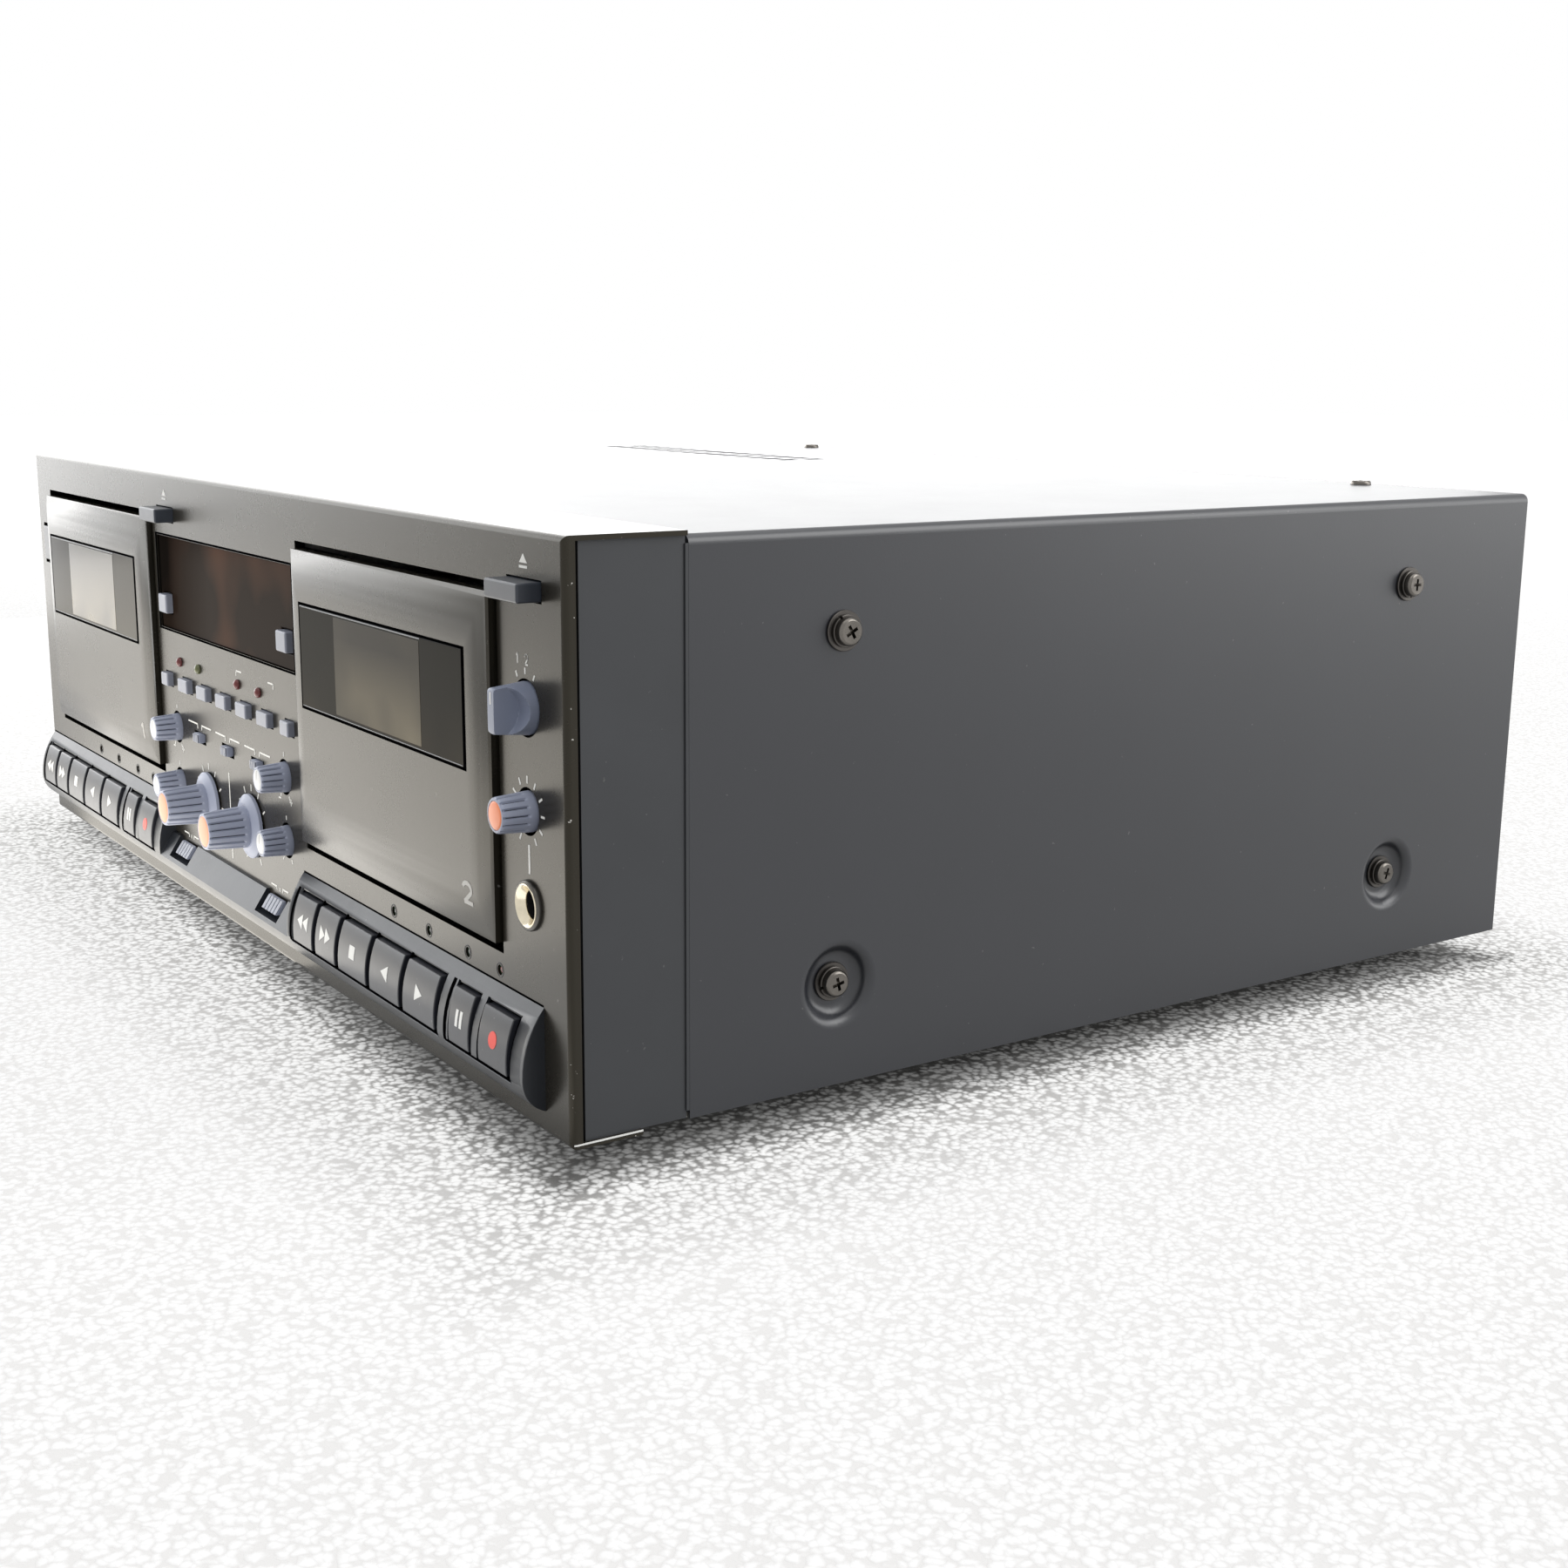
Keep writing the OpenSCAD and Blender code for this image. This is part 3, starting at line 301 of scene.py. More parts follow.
def smoked(name, rgb, rough):
    """Dark glossy acrylic with a faint cloud and wiping marks."""
    m = Mat(name)
    base = lin(rgb)
    tone = m.mix(m.ramp(m.noise(14.0, 3.0), 0.35, 0.7), base, toned(base, 1.25))
    m.link(tone, m.shader.inputs["Base Color"])
    wiped = m.noise(60.0, 4.0, stretch=(1.0, 1.0, 6.0))
    m.link(m.ramp(wiped, 0.35, 0.75, rough, rough + 0.07), m.shader.inputs["Roughness"])
    m.bump(m.noise(35.0, 1.0), 0.04, 0.0002)
    m.set(IOR=1.49)
    return m


def screen(name, tones, axis, span, coat):
    """Smoked plastic under a gloss layer, with a slow change of tone and gloss along one axis and clouds of
    painted reflection.
    """
    m = Mat(name)
    reflection_tone, low, high = (lin(rgb) for rgb in tones)
    tone = m.mix(m.ramp(m.axis(axis), *span), low, high)
    # Clouds of another tone: painted reflection of things in the room
    reflection_clouds = m.ramp(m.noise(24.0, 2.0, 0.4), 0.42, 0.62)
    m.link(m.mix(reflection_clouds, reflection_tone, tone), m.shader.inputs["Base Color"])
    wiped = m.noise(60.0, 4.0, stretch=(1.0, 1.0, 6.0))
    m.link(m.ramp(wiped, 0.35, 0.75, 0.3, 0.4), m.shader.inputs["Roughness"])
    m.bump(m.noise(35.0, 1.0), 0.03, 0.0002)
    m.set(Specular_IOR_Level=0.0, Coat_Roughness=0.13, Coat_IOR=1.5)
    m.link(m.ramp(m.axis(axis), *span, *coat), m.shader.inputs["Coat Weight"])
    return m


PANEL_TINT = (1.0, 0.92, 0.74, 1.0)
DOOR_TINT = (1.0, 0.93, 0.78, 1.0)
DISPLAY_TONES = ((40, 32, 27), (22, 19, 17), (78, 55, 43))
WINDOW_TONES = ((54, 49, 38), (120, 111, 90), (38, 34, 26))
BORDER_TONES = ((24, 22, 15), (46, 41, 29), (22, 20, 14))
# Paler border tones for door 1's glass: painted reflection
PAINTED_REFLECTION_BORDER_TONES = ((40, 37, 28), (60, 55, 42), (36, 33, 25))
DISPLAY_SPAN = (-0.06, -0.02)
WINDOW_SPAN = (0.088, 0.112)
BORDER_SPAN = (0.088, 0.11)

M = {
    "panel": satin(
        "panel_paint", (33, 31, 27), 0.27, depth=0.07, dust=0.3, ior=1.39, cloud=0.012, tint=PANEL_TINT
    ),
    "door": satin(
        "door_plastic", (28, 26, 21), 0.27, depth=0.07, dust=0.25, ior=1.42, cloud=0.012, tint=DOOR_TINT
    ),
    "rail": satin("rail_plastic", (34, 37, 42), 0.33, dust=0.2),
    "frame": satin("frame_plastic", (46, 48, 51), 0.42, dust=0.12),
    "cover": satin(
        "cover_paint", (34, 36, 41), 0.34, vary=0.05, grain=1700.0, depth=0.3, dust=0.15, ior=1.6, cloud=0.008
    ),
    "rear": satin("rear_paint", (30, 30, 32), 0.45, grain=900.0, depth=0.5, dust=0.4),
    "black": satin("black_plastic", (12, 12, 13), 0.5),
    # Near-black without gloss, laid into gaps and along edges: painted shade
    "gap": satin("painted_gap_shade", (5, 5, 6), 0.8).set(Specular_IOR_Level=0.0),
    "rubber": satin("foot_rubber", (22, 22, 22), 0.7, grain=800.0, depth=0.6, dust=0.6),
    "key": satin("key_plastic", (33, 35, 41), 0.32, grain=1900.0, dust=0.2, ior=1.47),
    "button": satin("button_plastic", (128, 132, 145), 0.36, grain=1900.0, dust=0.2, ior=1.55),
    "eject": satin("eject_plastic", (46, 51, 60), 0.36, grain=1900.0, dust=0.2, ior=1.52),
    # Pale lines laid along edges where they catch the light: painted highlight
    "edge": satin("key_edges", (104, 107, 112), 0.4),
    "knob": satin("knob_plastic", (152, 158, 177), 0.40, grain=1600.0, dust=0.2),
    "blade": satin("selector_plastic", (122, 129, 148), 0.38, grain=1600.0, dust=0.2),
    # Dark strips for the knobs' flutes: painted shade in the grooves
    "groove": satin("painted_groove_shade", (52, 55, 65), 0.5, grain=1600.0),
    "white": satin("face_white", (214, 215, 215), 0.38, vary=0.04),
    "orange": satin("face_orange", (242, 142, 96), 0.36, vary=0.06),
    "ink": satin("mark_white", (226, 226, 222), 0.5, vary=0.06),
    "ink_dull": satin("mark_grey", (172, 170, 165), 0.5, vary=0.08),
    "ink_red": satin("mark_red", (226, 62, 46), 0.42, vary=0.10),
    "lamp_red": smoked("lamp_red", (92, 28, 28), 0.12),
    "lamp_green": smoked("lamp_green", (88, 92, 56), 0.12),
    "lamp_clear": smoked("lamp_clear", (46, 46, 46), 0.14),
    "display": screen("display_smoked", DISPLAY_TONES, "X", DISPLAY_SPAN, (0.0, 0.08)),
    "window": screen("window_smoked", WINDOW_TONES, "Z", WINDOW_SPAN, (0.26, 0.26)),
    # Door 1's glass: a glossier copy of the window, painted reflection
    "window_far": screen("window_painted_reflection", WINDOW_TONES, "Z", WINDOW_SPAN, (0.9, 0.9)),
    "window_edge": screen("window_border", BORDER_TONES, "Z", BORDER_SPAN, (0.15, 0.15)),
    # Door 1's glass border: a paler, glossier copy, painted reflection
    "window_edge_far": screen("window_border_painted_reflection", PAINTED_REFLECTION_BORDER_TONES, "Z", BORDER_SPAN, (0.42, 0.42)),
    "screw": metal("screw_steel", (112, 108, 103), 0.28),
    "washer": metal("washer_steel", (88, 85, 82), 0.34),
    "jack": metal("jack_plating", (232, 222, 198), 0.20),
    "nut": metal("jack_nut", (92, 90, 86), 0.34),
    "zinc": metal("zinc_steel", (176, 174, 168), 0.38, brushed=(1.0, 9.0, 1.0)),
    "board": satin("board_green", (38, 74, 44), 0.5, vary=0.35, grain=500.0, depth=0.8),
    "spindle": satin("spindle_plastic", (205, 203, 196), 0.45),
    "socket_red": satin("socket_red", (168, 34, 30), 0.42),
    "socket_white": satin("socket_white", (214, 213, 208), 0.42),
}
wear_and_painted_shade(M["panel"], lin((205, 203, 198)))


# Mesh pieces


class Piece:
    """A mesh in panel millimetres, put together from forms that each have one material."""

    def __init__(self):
        self.bm = bmesh.new()
        self.mats = []

    def index(self, mat):
        if mat not in self.mats:
            self.mats.append(mat)
        return self.mats.index(mat)

    def take(self, bm, mat, matrix=None):
        """Adds another mesh, moved by matrix, in one material."""
        if matrix:
            bm.transform(matrix)
        i = self.index(mat)
        for f in bm.faces:
            f.material_index = i
        mesh = bpy.data.meshes.new("part")
        bm.to_mesh(mesh)
        bm.free()
        self.bm.from_mesh(mesh)
        bpy.data.meshes.remove(mesh)

    def box(self, x, y, z, mat, bevel=0.0, seg=3):
        """A block between pairs of limits, with rounded edges where bevel is given."""
        bm = bmesh.new()
        bmesh.ops.create_cube(bm, size=1.0)
        for v in bm.verts:
            v.co = Vector(a[0] + (c + 0.5) * (a[1] - a[0]) for a, c in zip((x, y, z), v.co))
        if bevel:
            bmesh.ops.bevel(bm, geom=bm.edges[:], offset=bevel, segments=seg, profile=0.5, affect="EDGES")
        self.take(bm, mat)

    def lathe(self, matrix, profile, mat, n=48, shape=None, bend=None):
        """Turns (radius, height) points about the matrix's z axis.

        shape(angle, radius, height) may change the radius, and bend(point) may move the points.
        """
        bm = bmesh.new()
        rings = []
        for r, h in profile:
            if r < 1e-6:
                rings.append([bm.verts.new((0, 0, h))])
                continue
            ring = []
            for k in range(n):
                a = 2 * math.pi * k / n
                q = shape(a, r, h) if shape else r
                ring.append(bm.verts.new((q * math.sin(a), q * math.cos(a), h)))
            rings.append(ring)
        for a, b in zip(rings, rings[1:]):
            for k in range(n):
                j = (k + 1) % n
                if len(a) == 1:
                    bm.faces.new((a[0], b[j], b[k]))
                elif len(b) == 1:
                    bm.faces.new((a[k], a[j], b[0]))
                else:
                    bm.faces.new((a[k], a[j], b[j], b[k]))
        if bend:
            for v in bm.verts:
                v.co = bend(v.co)
        bmesh.ops.recalc_face_normals(bm, faces=bm.faces[:])
        self.take(bm, mat, matrix)

    def prism(self, matrix, outline, low, high, mat, bevel=0.0, seg=3):
        """Draws a 2D outline out from low to high along the matrix's z axis."""
        bm = bmesh.new()
        a = [bm.verts.new((x, y, low)) for x, y in outline]
        b = [bm.verts.new((x, y, high)) for x, y in outline]
        n = len(outline)
        bm.faces.new(list(reversed(a)))
        bm.faces.new(b)
        for k in range(n):
            bm.faces.new((a[k], a[(k + 1) % n], b[(k + 1) % n], b[k]))
        bmesh.ops.recalc_face_normals(bm, faces=bm.faces[:])
        if bevel:
            edges = [e for e in bm.edges if e.calc_face_angle(0.0) > math.radians(28)]
            bmesh.ops.bevel(bm, geom=edges, offset=bevel, segments=seg, profile=0.5, affect="EDGES")
        self.take(bm, mat, matrix)

    def mark(self, outline, surface, mat):
        """A thin raised print: an outline in x and z on a surface y(x, z)."""
        raised = 0.07
        sunk = 0.03
        bm = bmesh.new()
        top = [bm.verts.new((x, surface(x, z) - raised, z)) for x, z in outline]
        low = [bm.verts.new((x, surface(x, z) + sunk, z)) for x, z in outline]
        for t in tessellate_polygon([[Vector((x, z, 0)) for x, z in outline]]):
            bm.faces.new([top[i] for i in t])
        n = len(outline)
        for k in range(n):
            bm.faces.new((top[k], top[(k + 1) % n], low[(k + 1) % n], low[k]))
        bmesh.ops.recalc_face_normals(bm, faces=bm.faces[:])
        self.take(bm, mat)

    def stroke(self, points, width, surface, mat):
        """A line of even width through points on a surface."""
        for (x0, z0), (x1, z1) in zip(points, points[1:]):
            length = math.hypot(x1 - x0, z1 - z0)
            ux, uz = (x1 - x0) / length, (z1 - z0) / length
            past = width * 0.15
            half = width / 2
            steps = max(1, int(length / 2.0))
            for k in range(steps):
                a = -past + (length + 2 * past) * k / steps
                b = -past + (length + 2 * past) * (k + 1) / steps
                corners = ((a, -half), (b, -half), (b, half), (a, half))
                quad = [(x0 + ux * t - uz * w, z0 + uz * t + ux * w) for t, w in corners]
                self.mark(quad, surface, mat)

    def done(self, name, body, replaces=(), angle=32.0):
        """Makes the object in the shared frame and says what it rides on and replaces."""
        self.bm.transform(TO_FRAME)
        mesh = bpy.data.meshes.new(name)
        self.bm.to_mesh(mesh)
        self.bm.free()
        for m in self.mats:
            mesh.materials.append(M[m].mat)
        mesh.polygons.foreach_set("use_smooth", [True] * len(mesh.polygons))
        mesh.set_sharp_from_angle(angle=math.radians(angle))
        obj = bpy.data.objects.new(name, mesh)
        bpy.context.scene.collection.objects.link(obj)
        shade = obj.modifiers.new("even_normals", "WEIGHTED_NORMAL")
        shade.keep_sharp = True
        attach(obj, body)
        if replaces:
            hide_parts(*replaces)


def paint(node, mat):
    """Gives a CAD node its material."""
    data = nodes[node].data
    data.materials.clear()
    data.materials.append(M[mat].mat)


def cad_mesh(node):
    """A CAD node's mesh in panel millimetres, with its flat faces merged."""
    bm = bmesh.new()
    bm.from_mesh(nodes[node].data)
    bm.transform(TO_FRAME.inverted())
    bmesh.ops.remove_doubles(bm, verts=bm.verts[:], dist=0.002)
    bmesh.ops.dissolve_limit(
        bm,
        angle_limit=math.radians(0.05),
        verts=bm.verts[:],
        edges=bm.edges[:],
        use_dissolve_boundaries=False,
    )
    return bm


def rounded(node, mat, body, radius, seg, angle, chosen):
    """A skin with the CAD node's own shape and the chosen ones of its sharp edges rounded off."""
    bm = cad_mesh(node)
    edges = []
    for e in bm.edges:
        if len(e.link_faces) == 2 and e.calc_face_angle(0.0) > math.radians(angle):
            if chosen([v.co for v in e.verts]):
                edges.append(e)
    bmesh.ops.bevel(
        bm, geom=edges, offset=radius, segments=seg, profile=0.5, affect="EDGES", clamp_overlap=True
    )
    bmesh.ops.recalc_face_normals(bm, faces=bm.faces[:])
    piece = Piece()
    piece.take(bm, mat)
    piece.done(node + "_skin", body, [node])


def soften(node, mat, body, radius, depth):
    """Rounds off a CAD node's sharp edges that lie before a depth (panel y)."""
    rounded(node, mat, body, radius, 3, 32, lambda ends: max(v.y for v in ends) < depth)


def rail_skin():
    """Rounds off the edges at both ends of the key rail's two raised parts."""
    ends = [start + e for start in RAILS.values() for e in (0.0, RAIL_LEN)]

    def at_an_end(corners):
        return any(all(abs(v.x - x) < 0.03 and v.y < -0.25 for v in corners) for x in ends)

    rounded("key_rail", "rail", "case", 1.3, 5, 50, at_an_end)


# Surfaces that prints lie on: y at a place on the panel, the rail, a key or a door


def flat(x, z):
    return 0.0


def rail_y(z, grow=0.0):
    """Front of the key rail at a height; grow makes it fuller."""
    rise = 17.1 if z > RAIL_MID else 8.3
    centre = (rise * rise - RAIL_OUT * RAIL_OUT) / (2 * RAIL_OUT)
    radius = centre + RAIL_OUT + grow
    return centre - math.sqrt(max(0.0, radius * radius - (z - RAIL_MID) ** 2))


def on_rail(x, z):
    return rail_y(z)


def key_y(z):
    """Front of a key at a height: fuller than the rail at the top, almost flush with it at the bottom."""
    low, high = KEY_Z
    return rail_y(z, 0.35 + 0.65 * min(1.0, max(0.0, (z - low) / (high - low))))


def on_key(x, z):
    return key_y(z)


def on_door(x, z):
    """Front of a door, away from its left and right shoulders."""
    if z >= SHOULDER_Z:
        return -DOOR_OUT
    r = (SHOULDER_RUN**2 + SHOULDER_FALL**2) / (2 * SHOULDER_FALL)
    return -DOOR_OUT + r - math.sqrt(r * r - (SHOULDER_Z - z) ** 2)


# Fixed shell

PAINTS = {
    "chassis": "zinc",
    "deck_mechanisms": "zinc",
    "electronics": "board",
    "feet": "rubber",
    "rear_panel": "rear",
    "rear_sockets": "black",
    "top_cover": "cover",
    "front_frame": "frame",
    "front_panel": "panel",
}
for node, mat in PAINTS.items():
    paint(node, mat)
rail_skin()
soften("display_window", "display", "case", 0.4, 0.7)
for i in DOORS:
    door = "cassette_door_%d" % i
    soften(door, "door", door, 0.5, -1.0)
    for kind in ("supply", "takeup"):
        paint("%s_spindle_%d" % (kind, i), "spindle")


def seams():
    """Grey strips set into the seams between the front frame's sides and the cover."""
    p = Piece()
    for s in (-1, 1):
        p.box(sorted((s * 215.0, s * 217.35)), (31.3, 32.35), (3.0, 138.0), "frame", 0.1, 2)
    p.done("frame_seams", "case")


seams()


# Display and cassette windows


def display_painted_shade():
    """A dark line round the display: painted shade in the gap round it."""
    p = Piece()
    left, right, low, high = DISPLAY
    depth = (-0.06, 0.3)
    for z in ((low - 0.75, low - 0.1), (high + 0.1, high + 0.75)):
        p.box((left - 1.4, right + 1.4), depth, z, "gap")
    for x in ((left - 1.4, left - 0.1), (right + 0.1, right + 1.4)):
        p.box(x, depth, (low - 0.75, high + 0.75), "gap")
    p.done("display_painted_shade", "case")


display_painted_shade()


def door_window(i):
    """A glass with a clear middle between two darker ends, a dark gap round it and black lines over its edge,
    both painted shade, and two bright edges, a painted highlight.
    """
    x = DOORS[i]
    body = "cassette_door_%d" % i
    # Door 1's glass takes paler, glossier copies of the window materials: painted reflection of the bright
    # room
    kind = "" if i == 2 else "_far"
    p = Piece()
    glass = [(x - 52.55, 82.55), (x + 52.05, 82.55), (x + 52.05, 111.4), (x - 52.55, 111.4)]
    p.prism(facing_front(0.0, 0.0), glass, 2.0, 3.68, "window_edge" + kind, 0.4, 2)
    p.box((x - 27.6, x + 27.6), (-3.74, -3.2), (83.9, 110.3), "window" + kind, 0.04, 1)
    p.done("door_window_%d_glass" % i, body, ["door_window_%d" % i])
    rim = Piece()
    # Black boxes in the gap round the glass: painted shade
    deep = (-3.2, -1.9)
    for z in ((82.02, 82.7), (111.2, 111.98)):
        rim.box((x - 52.98, x + 52.98), deep, z, "gap", 0.05, 1)
    for a, b in ((-52.98, -52.3), (51.9, 52.98)):
        rim.box((x + a, x + b), deep, (82.1, 111.9), "gap", 0.05, 1)
    # Black lines over the glass's edge: painted shade
    line = (-3.72, -3.1)
    for z in ((82.15, 82.75), (111.25, 111.85)):
        rim.box((x - 52.9, x + 52.7), line, z, "gap", 0.05, 1)
    for a, b in ((-52.9, -52.2), (51.5, 52.75)):
        rim.box((x + a, x + b), line, (82.2, 111.8), "gap", 0.05, 1)
    # Pale lines along the glass's top and foot: painted highlight
    rim.box((x - 51.9, x + 28.0), (-3.74, -3.3), (110.75, 111.1), "edge", 0.08, 2)
    rim.box((x - 51.9, x + 51.2), (-3.735, -3.3), (82.95, 83.2), "edge", 0.08, 2)
    rim.done("door_window_%d_rim" % i, body)


for i in DOORS:
    door_window(i)


# Buttons


def button(node, x, z, w, h, out, back, mat, bevel):
    """A rounded block of width w and height h about x, z, from its front to its back."""
    p = Piece()
    p.box((x - w / 2, x + w / 2), (-out, back), (z - h / 2, z + h / 2), mat, bevel, 4)
    p.done(node + "_cap", node, [node])


for i in range(1, 8):
    width = 6.6 if i in (1, 7) else 9.1
    x = MID + (i - 4) * FUNCTION_STEP
    button("function_button_%d" % i, x, FUNCTION_Z, width, 4.4, 2.0, 6.0, "button", 0.55)
for i, s in PAIR:
    button("reset_button_%d" % i, MID + s * RESET_X, RESET_Z, 8.0, 6.2, 1.5, 9.0, "button", 0.6)
button("power_button", 12 - HALF, 107.0, 8.4, 13.0, 0.6, 7.0, "key", 0.5)
for i, x in EJECTS.items():
    button("eject_button_%d" % i, x, EJECT_Z, 16.4, 4.5, 6.0, 7.0, "eject", 0.55)


# Transport keys with their symbols


def strips(rows):
    """Outline from rows of (height, left, right)."""
    return [(right, z) for z, left, right in rows] + [(left, z) for z, left, right in reversed(rows)]


def arrow(x, w, h, s=1):
    """A triangle at the symbols' height that points left, or right where s is -1."""
    steps = 6
    rows = []
    for k, z in enumerate(spread(ICON_Z - h / 2, ICON_Z + h / 2, 2 * steps)):
        t = abs(k - steps) / steps
        a, b = x - s * w / 2 + s * w * t, x + s * w / 2
        rows.append((z, min(a, b), max(a, b) + 0.01))
    return strips(rows)


def disc(x, z, r, n=28):
    """Outline of a circle."""
    turns = [2 * math.pi * k / n for k in range(n)]
    return [(x + r * math.cos(a), z + r * math.sin(a)) for a in turns]


def bar(x, w, h):
    """An upright bar at the symbols' height."""
    return strips([(z, x - w / 2, x + w / 2) for z in spread(ICON_Z - h / 2, ICON_Z + h / 2, 5)])


def icons(kind, x):
    """Outlines of a key's symbol."""
    if kind == "rewind":
        return [arrow(x - 1.9, 3.6, 4.4), arrow(x + 1.9, 3.6, 4.4)]
    if kind == "forward":
        return [arrow(x - 1.9, 3.6, 4.4, -1), arrow(x + 1.9, 3.6, 4.4, -1)]
    if kind == "stop":
        return [bar(x, 3.6, 3.6)]
    if kind == "reverse":
        return [arrow(x, 4.2, 4.2)]
    if kind == "play":
        return [arrow(x, 4.2, 4.2, -1)]
    if kind == "pause":
        return [bar(x - 1.15, 1.3, 4.2), bar(x + 1.15, 1.3, 4.2)]
    return [disc(x, ICON_Z, 2.1)]


def key_outline():
    """Section of a key, closed by a flat back."""
    low, high = KEY_Z
    back = -1.6
    return [(key_y(z), z) for z in spread(low, high, 14)] + [(back, high), (back, low)]


def key(deck, kind):
    """A key's cap and the symbol on it."""
    node = "%s_key_%d" % (kind, deck)
    a, b = (RAILS[deck] + e for e in KEYS[kind])
    p = Piece()
    p.prism(ALONG_X, key_outline(), a, b, "key", 0.4, 3)
    p.done(node + "_cap", node, [node], 25.0)
    symbol = Piece()
    ink = "ink_red" if kind == "record" else "ink"
    for outline in icons(kind, (a + b) / 2):
        symbol.mark(outline, on_key, ink)
    symbol.done(node + "_symbol", node)


for deck in RAILS:
    for kind in KEYS:
        key(deck, kind)


def key_pockets():
    """Linings of the keys' pockets, mostly black as painted shade, kept back from the rail's face; dark lines
    round the keys and along the rail's top, painted shade; and a pale line under each group of keys, a
    painted highlight.
    """
    p = Piece()
    gap = 0.58
    back = -0.02
    low, high = KEY_Z[0] - gap, KEY_Z[1] + 0.98
    side = [(rail_y(z) + 0.3, z) for z in spread(low, high, 12)] + [(back, high), (back, low)]
    for start in RAILS.values():
        for left, right in KEYS.values():
            a, b = start + left - gap, start + right + gap
            # Black walls, floor and back of each pocket: painted shade; the top lining keeps the rail's
            # colour
            p.prism(ALONG_X, side, a, a + 0.1, "gap")
            p.prism(ALONG_X, side, b - 0.1, b, "gap")
            p.box((a, b), (rail_y(low) + 0.3, back), (low, low + 0.1), "gap")
            p.box((a, b), (rail_y(high) + 0.1, back), (high - 0.45, high), "rail")
            p.box((a, b), (back - 0.1, back), (low, high), "gap")
        for first, last in (("rewind", "play"), ("pause", "record")):
            a, b = start + KEYS[first][0], start + KEYS[last][1]
            line = spread(a - 2.9, b + 1.2, 40)
            # A dark line under each group of keys and one at its left, painted shade, with a pale line below,
            # painted highlight
            p.stroke([(x, 12.3) for x in line], 0.55, on_rail, "gap")
            p.stroke([(x, 11.75) for x in line], 0.28, on_rail, "edge")
            p.stroke([(a - 3.0, z) for z in spread(12.4, 27.4, 20)], 1.5, on_rail, "gap")
        # A dark line along the rail's top edge: painted shade
        p.stroke([(start + 0.3, 31.3), (start + RAIL_LEN - 0.3, 31.3)], 0.5, flat, "gap")
    p.done("key_pocket_painted_shade_and_highlights", "case")


key_pockets()


# Knobs


def knob(node, x, z, r, taper, reach, face, flutes, cap, root=-1.0, flange=None):
    """A ribbed body that narrows to the front, a domed face and perhaps a base disc.

    A white face has a pointer line.
    """
    p = Piece()
    m = facing_front(x, z)
    if flange:
        disc_edge = [(0, 0.4), (flange, 0.4), (flange, 1.3), (flange - 0.35, 1.65), (flange - 1.2, 1.8)]
        disc_top = [(flange - 2.2, 2.6), (r + 0.2, 2.75), (r - 1, 2.75)]
        p.lathe(m, disc_edge + disc_top, "knob", 64)
    foot = max(root, 0) + 1.6
    rim = reach - 0.7

    def radius(h):
        return r - taper * (h - root) / (rim - root)

    def ribs(a, q, h):
        if h < foot or h > rim + 0.5:
            return q
        u = abs((a * flutes / (2 * math.pi)) % 1.0 - 0.5) / 0.16
        ease = min(1.0, (h - foot) / 0.5)
        return q - 0.5 * ease * math.sqrt(max(0.0, 1 - u * u))

    def dome(t):
        """Height of the face at a share of its radius."""
        return reach + 0.03 + 0.22 * (1 - t * t)

    heights = [root + 0.4, foot - 0.4, foot, foot + 0.25, foot + 0.5]
    heights += [foot + 0.5 + (rim - foot - 0.5) * t for t in (0.3, 0.65, 1.0)]
    body = [(0, root), (radius(root) - 0.15, root)] + [(radius(h), h) for h in heights]
    top = radius(rim)
    body += [(top - 0.1, reach - 0.35), (top - 0.3, reach - 0.1), (top - 0.55, reach)]
    body += [(cap + 0.12, reach), (cap + 0.05, reach - 0.3), (0, reach - 0.3)]
    p.lathe(m, body, "knob", flutes * 20, ribs)
    # Dark strips sunk in the flutes: painted shade in the grooves
    low, high = foot + 0.5, rim - 0.1
    strip = [(radius(h) - d, h) for h, d in ((low, 0.46), (high, 0.46), (high, 0.6), (low, 0.6))]
    for k in range(flutes):
        a = 2 * math.pi * (k + 0.5) / flutes
        p.prism(m @ Matrix.Rotation(-a, 4, "Z") @ ALONG_X, strip, -0.26, 0.26, "groove")
    front = [(0, reach - 0.35), (cap, reach - 0.35), (cap, reach - 0.1), (cap - 0.18, reach + 0.03)]
    front += [(cap * t, dome(t)) for t in (0.8, 0.6, 0.4, 0.2, 0.0)]
    p.lathe(m, front, face, 48)
    if face == "white":
        stops = spread(0.0, cap - 0.25, 4)
        for a, b in zip(stops, stops[1:]):
            bm = bmesh.new()
            corners = ((-0.2, a), (0.2, a), (0.2, b), (-0.2, b))
            bm.faces.new([bm.verts.new((u, v, dome(v / cap) + 0.03)) for u, v in corners])
            p.take(bm, "ink_dull", m)
    p.done(node + "_cap", node, [node], 40.0)


knob("phones_knob", SIDE, PHONES_Z, 4.9, 0.6, 8.4, "orange", 14, 3.35)
for i, s in PAIR:
    knob("pitch_knob_%d" % i, MID + s * SMALL_KNOB_X, PITCH_Z, 4.6, 0.6, 8.4, "white", 14, 3.1)
    knob("balance_knob_%d" % i, MID + s * SMALL_KNOB_X, BALANCE_Z, 4.6, 0.6, 8.4, "white", 14, 3.1)
    knob("input_knob_%d" % i, MID + s * INPUT_X, INPUT_Z, 6.5, 0.75, 15.5, "orange", 16, 4.7, 2.6, 10.0)


